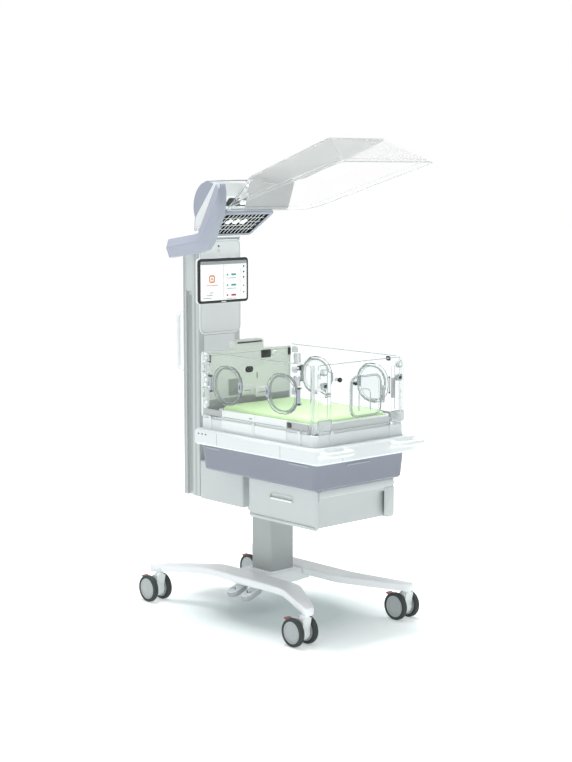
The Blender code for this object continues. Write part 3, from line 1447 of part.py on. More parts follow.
def canopy_loop(share, inset):
    """A loop round the canopy: share 0 at the rim, 1 round the top panel."""
    half = CANOPY_HALF_WIDTH + share * (CANOPY_TOP_HALF_WIDTH - CANOPY_HALF_WIDTH) - inset
    rear = share * CANOPY_TOP_REAR + inset
    front = CANOPY_LENGTH + share * (CANOPY_TOP_FRONT - CANOPY_LENGTH) - inset
    corner = CANOPY_CORNER + share * (CANOPY_TOP_CORNER - CANOPY_CORNER) - inset
    far = CANOPY_FRONT_CORNER + share * (CANOPY_TOP_FRONT_CORNER - CANOPY_FRONT_CORNER) - inset
    loop = []
    for u, v in rounded_outline(-half, half, rear, front, corner, 4, far):
        height = share * canopy_top_height(CANOPY_TOP_REAR + (v - rear) / (front - rear)
                                           * (CANOPY_TOP_FRONT - CANOPY_TOP_REAR))
        if share > 0.9:
            height -= inset
        loop.append(canopy_place(u, v, height))
    return loop


def make_canopy():
    wall = CANOPY_WALL
    shell = solid(
        "canopy_shell",
        [
            canopy_loop(1.0, 0.0), canopy_loop(0.12, 0.0), canopy_loop(0.0, 0.0),
            canopy_loop(0.0, wall), canopy_loop(0.12, wall), canopy_loop(1.0, wall),
        ],
    )
    slope_length = math.hypot(CANOPY_TOP_REAR, CANOPY_HEIGHT_REAR)
    along = (CANOPY_TOP_REAR / slope_length, CANOPY_HEIGHT_REAR / slope_length)
    out = (-along[1], along[0])
    plate_low = REAR_PLATE_LOW
    plate_high = slope_length - 0.004
    loops = []
    for rise in (FIT + 0.0004, FIT + 0.0004 + REAR_PLATE_THICKNESS):
        outline = rounded_outline(-REAR_PLATE_HALF_WIDTH, REAR_PLATE_HALF_WIDTH, plate_low, plate_high, 0.014, 3)
        loops.append([
            canopy_place(u, v * along[0] + rise * out[0], v * along[1] + rise * out[1]) for u, v in outline
        ])
    plate = solid("plate", loops)
    rise = FIT + 0.0004 + REAR_PLATE_THICKNESS / 2.0
    feet = []
    for distance in (0.050, 0.115):
        foot = canopy_place(0.0, distance * along[0] + rise * out[0], distance * along[1] + rise * out[1])
        feet.append((foot.y, foot.z))
    half = YOKE_LENGTH / 2.0
    yoke = barrel(
        "canopy_yoke", "X", (CANOPY_PIVOT_Y, CANOPY_PIVOT_Z), 0.0, YOKE_LENGTH, YOKE_RADIUS, YOKE_PIN, YOKE_LUG, 12,
    )
    shape = hull(circle(CANOPY_PIVOT_Y, CANOPY_PIVOT_Z, YOKE_RADIUS * 0.95, 12) + feet)
    join(yoke, prism("web", "X", shape, -half + 0.002, half - 0.002), plate)
    for part in (shell, yoke):
        settle(part, (0.0, CANOPY_PIVOT_Y, CANOPY_PIVOT_Z))
    return [(shell, "clear"), (yoke, "plate_grey")]


# Materials: colour, roughness, metallic, transmission.
MATERIALS = {
    "leg_white": ((0.86, 0.88, 0.89), 0.35, 0.0, 0.0),
    "shell_white": ((0.84, 0.86, 0.86), 0.40, 0.0, 0.0),
    "caster_white": ((0.80, 0.82, 0.82), 0.40, 0.0, 0.0),
    "tyre": ((0.03, 0.035, 0.035), 0.70, 0.0, 0.0),
    "brake_red": ((0.26, 0.06, 0.06), 0.45, 0.0, 0.0),
    "dark_metal": ((0.05, 0.05, 0.055), 0.50, 0.3, 0.0),
    "pedal_lavender": ((0.60, 0.61, 0.66), 0.45, 0.0, 0.0),
    "column_grey": ((0.45, 0.46, 0.46), 0.40, 0.2, 0.0),
    "rail_grey": ((0.40, 0.41, 0.41), 0.35, 0.5, 0.0),
    "tub_lavender": ((0.27, 0.29, 0.34), 0.50, 0.0, 0.0),
    "drawer_grey": ((0.62, 0.65, 0.65), 0.45, 0.0, 0.0),
    "arm_lavender": ((0.56, 0.57, 0.65), 0.40, 0.0, 0.0),
    "plate_grey": ((0.43, 0.46, 0.45), 0.45, 0.0, 0.0),
    "screen_black": ((0.01, 0.01, 0.012), 0.15, 0.0, 0.0),
    "grille_black": ((0.02, 0.02, 0.02), 0.50, 0.5, 0.0),
    "reflector": ((0.85, 0.83, 0.78), 0.15, 1.0, 0.0),
    "lamp_white": ((0.95, 0.95, 0.92), 0.20, 0.0, 0.0),
    "clear": ((0.90, 0.96, 0.95), 0.05, 0.0, 1.0),
    "door_clear": ((0.80, 0.85, 0.84), 0.10, 0.0, 0.6),
    "knob_black": ((0.015, 0.015, 0.015), 0.35, 0.0, 0.0),
    "mattress_green": ((0.56, 0.77, 0.44), 0.60, 0.0, 0.0),
}


def material(name):
    made = bpy.data.materials.get(name)
    if made:
        return made
    colour, roughness, metallic, transmission = MATERIALS[name]
    made = bpy.data.materials.new(name)
    made.use_nodes = True
    shader = made.node_tree.nodes["Principled BSDF"]
    shader.inputs["Base Color"].default_value = (*colour, 1.0)
    shader.inputs["Roughness"].default_value = roughness
    shader.inputs["Metallic"].default_value = metallic
    shader.inputs["Transmission Weight"].default_value = transmission
    made.diffuse_color = (*colour, 1.0)
    return made


def finish(parts):
    """Gives each part its material and shading, and stands the whole on its own middle."""
    root = bpy.data.objects.new("incubator", None)
    bpy.context.collection.objects.link(root)
    lows = []
    highs = []
    for part, finish_name in parts:
        part.data.materials.clear()
        part.data.materials.append(material(finish_name))
        part.data.shade_smooth()
        part.data.set_sharp_from_angle(angle=math.radians(32.0))
        part.parent = root
        for vertex in part.data.vertices:
            lows.append((vertex.co + part.location).y)
            highs.append((vertex.co + part.location).y)
    root.location.y = -(min(lows) + max(highs)) / 2.0


def main():
    for thing in list(bpy.data.objects):
        bpy.data.objects.remove(thing)
    parts = make_casters()
    parts += make_base()
    parts += [
        (make_pedal("pedal_raise", PEDAL_RAISE_Y), "pedal_lavender"),
        (make_pedal("pedal_lower", PEDAL_LOWER_Y), "pedal_lavender"),
    ]
    parts += make_column()
    parts += [(make_rear_housing(), "shell_white")]
    parts += make_tower()
    parts += make_monitor()
    parts += [(make_drawer_frame(), "drawer_grey"), (make_drawer(), "drawer_grey")]
    parts += [(make_tub(), "tub_lavender"), (make_platform(), "shell_white")]
    for name, side in (("foot_handle_left", -1.0), ("foot_handle_right", 1.0)):
        parts.append((make_foot_handle(name, side), "rail_grey"))
    for name, side in (("left", -1.0), ("right", 1.0)):
        parts.append((make_side_wall("wall_" + name, side), "clear"))
        for port in ("front", "rear"):
            parts.append((make_port_door("port_door_" + port + "_" + name, side, port), "door_clear"))
    parts += [(make_foot_wall(), "clear"), (make_hatch(), "door_clear"), (make_knob(), "knob_black")]
    parts += [(make_console(), "shell_white")]
    parts += [
        (make_tray(), "shell_white"), (make_mattress(), "mattress_green"), (make_tilt_support(), "drawer_grey"),
    ]
    parts += [(make_carriage(), "drawer_grey"), (make_arm(), "arm_lavender")]
    parts += make_head()
    parts += make_heater()
    parts += [(make_lamp(), "lamp_white")]
    parts += make_canopy()
    finish(parts)


main()
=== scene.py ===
import json
import math

import bmesh
import bpy
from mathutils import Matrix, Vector

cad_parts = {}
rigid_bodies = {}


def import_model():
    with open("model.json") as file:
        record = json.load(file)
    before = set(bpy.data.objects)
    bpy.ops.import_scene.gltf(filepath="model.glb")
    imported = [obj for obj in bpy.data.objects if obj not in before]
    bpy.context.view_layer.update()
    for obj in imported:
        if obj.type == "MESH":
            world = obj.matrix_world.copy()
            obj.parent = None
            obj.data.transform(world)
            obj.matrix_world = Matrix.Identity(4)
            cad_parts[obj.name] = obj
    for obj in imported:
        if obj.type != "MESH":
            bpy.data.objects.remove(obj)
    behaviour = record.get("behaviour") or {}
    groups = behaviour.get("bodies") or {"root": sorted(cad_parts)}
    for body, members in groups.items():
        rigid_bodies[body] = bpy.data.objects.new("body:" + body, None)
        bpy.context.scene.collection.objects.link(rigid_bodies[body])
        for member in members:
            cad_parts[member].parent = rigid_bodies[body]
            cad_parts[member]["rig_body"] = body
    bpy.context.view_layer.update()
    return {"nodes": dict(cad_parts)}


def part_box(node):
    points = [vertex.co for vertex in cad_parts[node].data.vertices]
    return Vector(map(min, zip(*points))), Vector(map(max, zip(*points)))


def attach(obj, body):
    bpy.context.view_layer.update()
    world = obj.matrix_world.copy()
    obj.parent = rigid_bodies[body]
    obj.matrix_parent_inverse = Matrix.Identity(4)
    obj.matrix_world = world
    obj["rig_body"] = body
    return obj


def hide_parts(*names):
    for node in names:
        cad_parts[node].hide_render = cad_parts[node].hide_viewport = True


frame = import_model()
nodes = frame["nodes"]
print("frame loaded")

# The part's own drawing has its zero line here in the frame.
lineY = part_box("tower_front_cover")[0].y - 0.394
across = Vector((1.0, 0.0, 0.0))
along = Vector((0.0, 1.0, 0.0))
upward = Vector((0.0, 0.0, 1.0))
sides = ((-1.0, "left"), (1.0, "right"))

view = {"place": (-4.8856, -5.4186 + lineY, 2.0), "pitch": 82.66, "heading": -42.4, "lens": 76.63}
light = {"world": 0.42, "key": 24.0, "top": 190.0, "fill": 2.0, "floorNear": 0.0, "floorFar": 0.67}


# Sets a shader node's inputs by their labels.
def setInputs(node, values):
    for label, value in values.items():
        node.inputs[label].default_value = value


# The direction to the right for someone who looks at that side of the object.
def rightOf(side):
    return -along if side < 0.0 else along


# A new object in the scene.
def added(name, data):
    made = bpy.data.objects.new(name, data)
    bpy.context.scene.collection.objects.link(made)
    return made


# Camera, floor and light
def makeCamera():
    data = bpy.data.cameras.new("camera")
    data.sensor_fit = "AUTO"
    data.sensor_width = 36.0
    data.lens = view["lens"]
    data.clip_end = 200.0
    camera = added("camera", data)
    camera.location = view["place"]
    camera.rotation_euler = (math.radians(view["pitch"]), 0.0, math.radians(view["heading"]))
    bpy.context.scene.camera = camera


# White to the eye, softer as a light, with a pale floor and three square lamps.
def makeStage():
    scene = bpy.context.scene
    scene.view_settings.view_transform = "Standard"
    world = bpy.data.worlds.new("softWhite")
    world.use_nodes = True
    tree = world.node_tree
    link = tree.links.new
    back = tree.nodes["Background"]
    seen = tree.nodes.new("ShaderNodeBackground")
    setInputs(seen, {"Color": (1.0, 1.0, 1.0, 1.0), "Strength": 1.0})
    setInputs(back, {"Color": (0.97, 0.985, 1.0, 1.0), "Strength": light["world"]})
    path = tree.nodes.new("ShaderNodeLightPath")
    first = tree.nodes.new("ShaderNodeMath")
    second = tree.nodes.new("ShaderNodeMath")
    first.operation = "MAXIMUM"
    second.operation = "MAXIMUM"
    mix = tree.nodes.new("ShaderNodeMixShader")
    link(path.outputs["Is Camera Ray"], first.inputs[0])
    link(path.outputs["Is Glossy Ray"], first.inputs[1])
    link(first.outputs[0], second.inputs[0])
    link(path.outputs["Is Transmission Ray"], second.inputs[1])
    link(second.outputs[0], mix.inputs[0])
    link(back.outputs[0], mix.inputs[1])
    link(seen.outputs[0], mix.inputs[2])
    link(mix.outputs[0], tree.nodes["World Output"].inputs["Surface"])
    scene.world = world

    wide = 40.0
    corners = [(-wide, -wide, 0.0), (wide, -wide, 0.0), (wide, wide, 0.0), (-wide, wide, 0.0)]
    floor = formFrom("floor", corners, [(0, 1, 2, 3)], floorMaterial())
    for name, place, size, power in (
        ("keyLight", (-4.0, -0.9, 2.8), 3.0, light["key"]),
        ("topLight", (0.1, 0.5, 5.0), 1.5, light["top"]),
        ("fillLight", (2.6, -3.6, 2.4), 3.0, light["fill"]),
    ):
        data = bpy.data.lights.new(name, "AREA")
        data.shape = "SQUARE"
        data.size = size
        data.energy = power
        lamp = added(name, data)
        lamp.location = place
        toward = Vector((0.0, 0.0, 0.9)) - Vector(place)
        lamp.rotation_euler = toward.to_track_quat("-Z", "Y").to_euler()


# Shared surface effects
# Adds named sockets and returns the group's input and output nodes.
def socketed(group, inputs, outputs):
    for label, kind, value in inputs:
        group.interface.new_socket(label, in_out="INPUT", socket_type=kind).default_value = value
    for label, kind in outputs:
        group.interface.new_socket(label, in_out="OUTPUT", socket_type=kind)
    return group.nodes.new("NodeGroupInput"), group.nodes.new("NodeGroupOutput")


# Slow colour drift, uneven gloss and a fine grain.
def surfaceGroup(name, stretch, cells=False):
    group = bpy.data.node_groups.new(name, "ShaderNodeTree")
    start, end = socketed(
        group,
        [("Colour", "NodeSocketColor", (0.8, 0.8, 0.8, 1.0)), ("Roughness", "NodeSocketFloat", 0.4),
         ("Grain scale", "NodeSocketFloat", 700.0), ("Grain depth", "NodeSocketFloat", 0.1),
         ("Drift", "NodeSocketFloat", 0.05)],
        [("Colour", "NodeSocketColor"), ("Roughness", "NodeSocketFloat"), ("Normal", "NodeSocketVector")],
    )
    nodesIn = group.nodes
    link = group.links.new
    place = nodesIn.new("ShaderNodeTexCoord")
    turn = nodesIn.new("ShaderNodeMapping")
    turn.inputs["Scale"].default_value = stretch
    link(place.outputs["Object"], turn.inputs["Vector"])
    slow = nodesIn.new("ShaderNodeTexNoise")
    setInputs(slow, {"Scale": 4.0, "Detail": 4.0})
    link(turn.outputs[0], slow.inputs["Vector"])
    drift = nodesIn.new("ShaderNodeMath")
    drift.operation = "MULTIPLY"
    link(slow.outputs["Fac"], drift.inputs[0])
    link(start.outputs["Drift"], drift.inputs[1])
    level = nodesIn.new("ShaderNodeMath")
    level.operation = "SUBTRACT"
    level.inputs[0].default_value = 1.02
    link(drift.outputs[0], level.inputs[1])
    shade = nodesIn.new("ShaderNodeHueSaturation")
    link(start.outputs["Colour"], shade.inputs["Color"])
    link(level.outputs[0], shade.inputs["Value"])
    link(shade.outputs[0], end.inputs["Colour"])
    patch = nodesIn.new("ShaderNodeTexNoise")
    setInputs(patch, {"Scale": 28.0, "Detail": 3.0})
    link(turn.outputs[0], patch.inputs["Vector"])
    spread = nodesIn.new("ShaderNodeMapRange")
    setInputs(spread, {"To Min": -0.05, "To Max": 0.07})
    link(patch.outputs["Fac"], spread.inputs["Value"])
    gloss = nodesIn.new("ShaderNodeMath")
    gloss.operation = "ADD"
    gloss.use_clamp = True
    link(start.outputs["Roughness"], gloss.inputs[0])
    link(spread.outputs[0], gloss.inputs[1])
    link(gloss.outputs[0], end.inputs["Roughness"])
    if cells:
        fine = nodesIn.new("ShaderNodeTexVoronoi")
        height = fine.outputs["Distance"]
    else:
        fine = nodesIn.new("ShaderNodeTexNoise")
        fine.inputs["Detail"].default_value = 2.0
        height = fine.outputs["Fac"]
    link(turn.outputs[0], fine.inputs["Vector"])
    link(start.outputs["Grain scale"], fine.inputs["Scale"])
    bump = nodesIn.new("ShaderNodeBump")
    bump.inputs["Distance"].default_value = 0.0004
    link(start.outputs["Grain depth"], bump.inputs["Strength"])
    link(height, bump.inputs["Height"])
    link(bump.outputs[0], end.inputs["Normal"])
    return group


groups = {
    "moulded": surfaceGroup("mouldedGrain", (1.0, 1.0, 1.0)),
    "brushed": surfaceGroup("brushedGrain", (1.0, 1.0, 0.02)),
    "vinyl": surfaceGroup("vinylGrain", (1.0, 1.0, 1.0), cells=True),
}


# Finishes: colour, roughness, metallic, effect, grain scale, grain depth, drift. A plain moulded one gives
# only colour, roughness, grain depth and drift.
finishes = {
    "legWhite": ("FAFCFD", 0.34, 0.06, 0.04),
    "shellWhite": ("F4F7F7", 0.42, 0.0, "moulded", 800.0, 0.1, 0.05),
    "rimWhite": ("E9EDEE", 0.42, 0.0, "moulded", 800.0, 0.1, 0.05),
    "casterWhite": ("F0F3F3", 0.4, 0.08, 0.05),
    "tyreRubber": ("3A403E", 0.72, 0.0, "moulded", 500.0, 0.35, 0.18),
    "discGrey": ("B3B7B8", 0.42, 0.08, 0.06),
    "brakeRed": ("A25452", 0.42, 0.1, 0.1),
    "darkMetal": ("3C3F43", 0.45, 0.4, "brushed", 700.0, 0.12, 0.12),
    "brightMetal": ("D8DBDB", 0.3, 0.7, "brushed", 700.0, 0.1, 0.06),
    "pedalLavender": ("C6C8CF", 0.45, 0.12, 0.06),
    "columnGrey": ("ABAFAF", 0.42, 0.15, "brushed", 600.0, 0.08, 0.06),
    "railGrey": ("C6CACA", 0.38, 0.2, "brushed", 600.0, 0.1, 0.06),
    "panelGrey": ("F1F4F4", 0.44, 0.08, 0.05),
    "tubLavender": ("898D99", 0.48, 0.1, 0.07),
    "slotLavender": ("A3A7B2", 0.48, 0.1, 0.05),
    "tubInside": ("5D6068", 0.6, 0.1, 0.07),
    "drawerGrey": ("CCD0D0", 0.46, 0.1, 0.05),
    "armLavender": ("A6ABB9", 0.38, 0.06, 0.05),
    "plateGrey": ("B9BBBB", 0.44, 0.08, 0.05),
    "consoleGreen": ("F1F6F2", 0.46, 0.1, 0.05),
    "bandGrey": ("AEB4B2", 0.46, 0.1, 0.06),
    "lineGrey": ("70767A", 0.45, 0.05, 0.05),
    "seamGrey": ("8B9092", 0.6, 0.05, 0.05),
    "bezelBlack": ("1A1B1D", 0.22, 0.03, 0.05),
    "knobBlack": ("1C1C1E", 0.3, 0.05, 0.08),
    "grilleBlack": ("0C0D0E", 0.8, 0.0, "moulded", 700.0, 0.1, 0.1),
    "edgeLight": ("BCC1C1", 0.4, 0.03, 0.03),
    "barGrey": ("F4F6F7", 0.4, 0.0, "brushed", 700.0, 0.06, 0.05),
    "lampAndHighlightWhite": ("FFFFFF", 0.2, 0.03, 0.02),
    "latchLavender": ("B4B7C4", 0.4, 0.08, 0.06),
    "gasketGrey": ("A9AFB0", 0.55, 0.08, 0.06),
    "mattressVinyl": ("BEDBA9", 0.52, 0.0, "vinyl", 900.0, 0.22, 0.06),
    "welt": ("B4D0A0", 0.5, 0.0, "vinyl", 900.0, 0.15, 0.05),
    "screenWhite": ("FBFCFC", 0.3, 0.0, 0.01),
    "inkGrey": ("A8AEB1", 0.3, 0.0, 0.01),
    "inkDark": ("3E4246", 0.3, 0.0, 0.01),
    "inkOrange": ("EE8A3C", 0.3, 0.0, 0.01),
    "inkTeal": ("3AA6A0", 0.3, 0.0, 0.01),
    "inkRed": ("C94848", 0.3, 0.0, 0.01),
}
dull = {"grilleBlack": 0.08}
# Emission: the work lamp and the screen light up; on the heater's white discs it is a painted highlight.
glowing = {"lampAndHighlightWhite": 0.35, "screenWhite": 0.25}


def linear(code):
    shares = [int(code[index:index + 2], 16) / 255.0 for index in (0, 2, 4)]
    return [share / 12.92 if share <= 0.04045 else ((share + 0.055) / 1.055) ** 2.4 for share in shares]


# One of the solid finishes, made when it is first asked for.
def finish(name):
    made = bpy.data.materials.get(name)
    if made:
        return made
    row = finishes[name]
    if len(row) == 4:
        row = (*row[:2], 0.0, "moulded", 900.0, *row[2:])
    colour, roughness, metallic, effect, scale, depth, drift = row
    made = bpy.data.materials.new(name)
    made.use_nodes = True
    tree = made.node_tree
    shader = tree.nodes["Principled BSDF"]
    shader.inputs["Metallic"].default_value = metallic
    group = tree.nodes.new("ShaderNodeGroup")
    group.node_tree = groups[effect]
    shade = [*linear(colour), 1.0]
    setInputs(group, {"Colour": shade, "Roughness": roughness, "Grain scale": scale, "Grain depth": depth,
        "Drift": drift})
    tree.links.new(group.outputs["Colour"], shader.inputs["Base Color"])
    tree.links.new(group.outputs["Roughness"], shader.inputs["Roughness"])
    tree.links.new(group.outputs["Normal"], shader.inputs["Normal"])
    if name in dull:
        shader.inputs["Specular IOR Level"].default_value = dull[name]
    if name in glowing:
        setInputs(shader, {"Emission Color": shade, "Emission Strength": glowing[name]})
    made.diffuse_color = shade
    return made


# Clear finishes: colour, roughness, how much light passes, refraction
clears = {
    "canopyTop": ((0.46, 0.465, 0.465), 0.35, 0.4, 1.2),
    "canopyFront": ((0.84, 0.84, 0.84), 0.1, 0.95, 1.1),
    "clearSheet": ((0.985, 0.99, 0.99), 0.03, 1.0, 1.14),
    "clearDoor": ((0.9, 0.92, 0.92), 0.06, 1.0, 1.2),
    "clearEdge": ((0.76, 0.8, 0.8), 0.2, 0.75, 1.25),
    "clearClamp": ((0.8, 0.83, 0.83), 0.14, 0.65, 1.35),
    "hoodClear": ((0.985, 0.985, 0.985), 0.04, 1.0, 1.12),
}


# One of the clear finishes. Its shadow is nearly white.
def clear(name):
    made = bpy.data.materials.get(name)
    if made:
        return made
    colour, roughness, passing, bend = clears[name]
    made = bpy.data.materials.new(name)
    made.use_nodes = True
    tree = made.node_tree
    link = tree.links.new
    shader = tree.nodes["Principled BSDF"]
    setInputs(shader, {"Metallic": 0.0, "Transmission Weight": passing, "IOR": bend})
    group = tree.nodes.new("ShaderNodeGroup")
    group.node_tree = groups["moulded"]
    setInputs(group, {"Colour": (*colour, 1.0), "Roughness": roughness, "Grain depth": 0.0, "Drift": 0.02})
    link(group.outputs["Colour"], shader.inputs["Base Color"])
    shader.inputs["Roughness"].default_value = roughness
    through = tree.nodes.new("ShaderNodeBsdfTransparent")
    through.inputs["Color"].default_value = (0.93, 0.95, 0.95, 1.0)
    path = tree.nodes.new("ShaderNodeLightPath")
    mix = tree.nodes.new("ShaderNodeMixShader")
    link(path.outputs["Is Shadow Ray"], mix.inputs[0])
    link(shader.outputs[0], mix.inputs[1])
    link(through.outputs[0], mix.inputs[2])
    link(mix.outputs[0], tree.nodes["Material Output"].inputs["Surface"])
    made.diffuse_color = (*colour, 0.4)
    return made


# A pale floor that glows more with distance, so that it meets the white background. Near the object it has no
# glow, which is painted shade: the floor's shadow there is darker than the lamps make it.
def floorMaterial():
    made = bpy.data.materials.new("paleFloor")
    made.use_nodes = True
    tree = made.node_tree
    shader = tree.nodes["Principled BSDF"]
    setInputs(shader, {"Base Color": (0.87, 0.94, 0.935, 1.0), "Roughness": 0.9, "Specular IOR Level": 0.0,
        "Emission Color": (1.0, 1.0, 1.0, 1.0)})
    place = tree.nodes.new("ShaderNodeTexCoord")
    reach = tree.nodes.new("ShaderNodeVectorMath")
    reach.operation = "LENGTH"
    spread = tree.nodes.new("ShaderNodeMapRange")
    setInputs(spread,
        {"From Min": 0.25, "From Max": 0.9, "To Min": light["floorNear"], "To Max": light["floorFar"]})
    tree.links.new(place.outputs["Object"], reach.inputs[0])
    tree.links.new(reach.outputs["Value"], spread.inputs["Value"])
    tree.links.new(spread.outputs[0], shader.inputs["Emission Strength"])
    return made


# Mesh helpers
# A mesh piece with smooth faces, sharp past the crease angle.
def formFrom(name, points, faces, material, crease=35.0):
    mesh = bpy.data.meshes.new(name)
    mesh.from_pydata([tuple(point) for point in points], [], faces)
    form = bmesh.new()
    form.from_mesh(mesh)
    bmesh.ops.remove_doubles(form, verts=form.verts, dist=0.000001)
    bmesh.ops.recalc_face_normals(form, faces=form.faces)
    form.to_mesh(mesh)
    form.free()
    mesh.shade_smooth()
    mesh.set_sharp_from_angle(angle=math.radians(crease))
    mesh.materials.append(material)
    return added(name, mesh)


# A closed form through loops with the same number of points.
def loft(name, loops, material, ring=False, crease=35.0):
    points = [point for loop in loops for point in loop]
    count = len(loops[0])
    faces = []
    rows = len(loops)
    for row in range(rows if ring else rows - 1):
        after = (row + 1) % rows
        for index in range(count):
            beside = (index + 1) % count
            faces.append((row * count + index, row * count + beside, after * count + beside,
                after * count + index))
    if not ring:
        faces.append(tuple(range(count)))
        faces.append(tuple((rows - 1) * count + index for index in range(count)))
    return formFrom(name, points, faces, material, crease)


least = 0.00005  # the smallest corner or radius


# A rectangle with round corners about its middle.
def roundLoop(width, height, corner, steps=6):
    corner = max(min(corner, width / 2.0 - least, height / 2.0 - least), least)
    points = []
    for signU, signV, start in ((1, -1, -90.0), (1, 1, 0.0), (-1, 1, 90.0), (-1, -1, 180.0)):
        for step in range(steps + 1):
            angle = math.radians(start + 90.0 * step / steps)
            points.append((signU * (width / 2.0 - corner) + corner * math.cos(angle),
                signV * (height / 2.0 - corner) + corner * math.sin(angle)))
    return points


# A point of the part's own drawing, in the frame.
def spot(x, y, z):
    return Vector((x, y + lineY, z))


# Fixes a piece to a body.
def ridden(piece, body):
    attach(piece, body)
    return piece


# A flat fitting with eased edges on a surface that faces right x up.
def plate(name, material, body, centre, right, size, thickness, corner=0.002, edge=0.0006, sunk=0.0008,
        up=upward):
    out = right.cross(up)
    loops = []
    for rise, inset in ((-sunk, 0.0), (thickness - edge, 0.0), (thickness - edge * 0.3, edge * 0.35),
            (thickness, edge)):
        loop = roundLoop(size[0] - 2.0 * inset, size[1] - 2.0 * inset, corner - inset)
        loops.append([centre + u * right + v * up + rise * out for u, v in loop])
    return ridden(loft(name, loops, finishOf(material)), body)


# Several flat fittings that face the same way on one body.
def plates(body, right, rows):
    for name, material, centre, size, *rest in rows:
        plate(name, material, body, centre, right, size, *rest)


# A border strip round an opening or a panel.
def rim(name, material, body, centre, right, size, width, thickness, corner, edge=0.0008, sunk=0.0006,
        up=upward):
    out = right.cross(up)
    loops = []
    for rise, inset in ((-sunk, 0.0), (thickness - edge, 0.0), (thickness, edge), (thickness, width - edge),
            (thickness - edge, width), (-sunk, width)):
        loop = roundLoop(size[0] - 2.0 * inset, size[1] - 2.0 * inset, corner - inset, 10)
        loops.append([centre + u * right + v * up + rise * out for u, v in loop])
    return ridden(loft(name, loops, finishOf(material), ring=True), body)


# Several border strips that face the same way on one body.
def rims(body, right, rows):
    for name, material, centre, size, *rest in rows:
        rim(name, material, body, centre, right, size, *rest)


# A round form about an axis; the profile is (along, radius).
def turned(name, material, body, centre, axis, profile, sides=56):
    first = upward.cross(axis) if abs(axis.z) < 0.9 else across.copy()
    first.normalize()
    second = axis.cross(first)
    loops = []
    for reach, radius in profile:
        ring = []
        for step in range(sides):
            angle = 2.0 * math.pi * step / sides
            ring.append(centre + reach * axis + max(radius, least)
                * (math.cos(angle) * first + math.sin(angle) * second))
        loops.append(ring)
    return ridden(loft(name, loops, finishOf(material), crease=40.0), body)


def finishOf(name):
    return clear(name) if name in clears else finish(name)


# The path with its corners rounded.
def bent(points, radius, steps=6):
    last = len(points) - 1
    path = []
    for index, point in enumerate(points):
        if index in (0, last):
            path.append(point)
            continue
        before = points[index - 1] - point
        after = points[index + 1] - point
        reach = min(radius, before.length * 0.49, after.length * 0.49)
        start = point + reach * before.normalized()
        end = point + reach * after.normalized()
        for step in range(steps + 1):
            share = step / steps
            path.append((1 - share) ** 2 * start + 2 * share * (1 - share) * point + share ** 2 * end)
    return path


# A bar with a rounded flat section along a path.
def bar(name, material, body, path, up, halfWide, halfHigh, corner):
    loops = []
    for index, point in enumerate(path):
        before = path[max(index - 1, 0)]
        after = path[min(index + 1, len(path) - 1)]
        forward = (after - before).normalized()
        side = forward.cross(up).normalized()
        section = roundLoop(2.0 * halfWide, 2.0 * halfHigh, corner, 4)
        loops.append([point + u * side + v * up for u, v in section])
    return ridden(loft(name, loops, finishOf(material), crease=50.0), body)


# Geometry node trees
# A tree with named inputs that ends in Realize Instances and Set Material.
def treeWith(name, inputs):
    tree = bpy.data.node_groups.new(name, "GeometryNodeTree")
    ids = {}
    tree.interface.new_socket("Geometry", in_out="INPUT", socket_type="NodeSocketGeometry")
    for label, kind in inputs:
        ids[label] = tree.interface.new_socket(label, in_out="INPUT", socket_type=kind).identifier
    tree.interface.new_socket("Geometry", in_out="OUTPUT", socket_type="NodeSocketGeometry")
    start = tree.nodes.new("NodeGroupInput")
    end = tree.nodes.new("NodeGroupOutput")
    real = tree.nodes.new("GeometryNodeRealizeInstances")
    cover = tree.nodes.new("GeometryNodeSetMaterial")
    tree.links.new(real.outputs[0], cover.inputs["Geometry"])
    tree.links.new(start.outputs["Material"], cover.inputs["Material"])
    tree.links.new(cover.outputs[0], end.inputs[0])
    return tree, ids, start, real


# A round section swept along a curve.
def makeSweepTree():
    tree, ids, start, real = treeWith("sweepAlong",
        [("Radius", "NodeSocketFloat"), ("Sides", "NodeSocketInt"), ("Material", "NodeSocketMaterial")])
    ring = tree.nodes.new("GeometryNodeCurvePrimitiveCircle")
    sweep = tree.nodes.new("GeometryNodeCurveToMesh")
    smooth = tree.nodes.new("GeometryNodeSetShadeSmooth")
    sweep.inputs["Fill Caps"].default_value = True
    link = tree.links.new
    link(start.outputs["Radius"], ring.inputs["Radius"])
    link(start.outputs["Sides"], ring.inputs["Resolution"])
    link(start.outputs["Geometry"], sweep.inputs["Curve"])
    link(ring.outputs["Curve"], sweep.inputs["Profile Curve"])
    link(sweep.outputs["Mesh"], smooth.inputs["Geometry"])
    link(smooth.outputs[0], real.inputs[0])
    return tree, ids


# Copies of a mesh at an even step.
def makeRepeatTree():
    tree, ids, start, real = treeWith("repeatAlong",
        [("Count", "NodeSocketInt"), ("Step", "NodeSocketVector"), ("Material", "NodeSocketMaterial")])
    line = tree.nodes.new("GeometryNodeMeshLine")
    spread = tree.nodes.new("GeometryNodeInstanceOnPoints")
    link = tree.links.new
    link(start.outputs["Count"], line.inputs["Count"])
    link(start.outputs["Step"], line.inputs["Offset"])
    link(line.outputs[0], spread.inputs["Points"])
    link(start.outputs["Geometry"], spread.inputs["Instance"])
    link(spread.outputs[0], real.inputs[0])
    return tree, ids


sweepTree, sweepIds = makeSweepTree()
repeatTree, repeatIds = makeRepeatTree()


# Runs a tree on an object and leaves a plain mesh that rides a body.
def settled(source, name, tree, values, body):
    step = source.modifiers.new("shape", "NODES")
    step.node_group = tree
    for identifier, value in values.items():
        step[identifier] = value
    source.update_tag()
    bpy.context.view_layer.update()
    graph = bpy.context.evaluated_depsgraph_get()
    mesh = bpy.data.meshes.new_from_object(source.evaluated_get(graph))
    mesh.name = name
    source.modifiers.clear()
    bpy.data.objects.remove(source)
    form = bmesh.new()
    form.from_mesh(mesh)
    bmesh.ops.recalc_face_normals(form, faces=form.faces)
    form.to_mesh(mesh)
    form.free()
    return ridden(added(name, mesh), body)


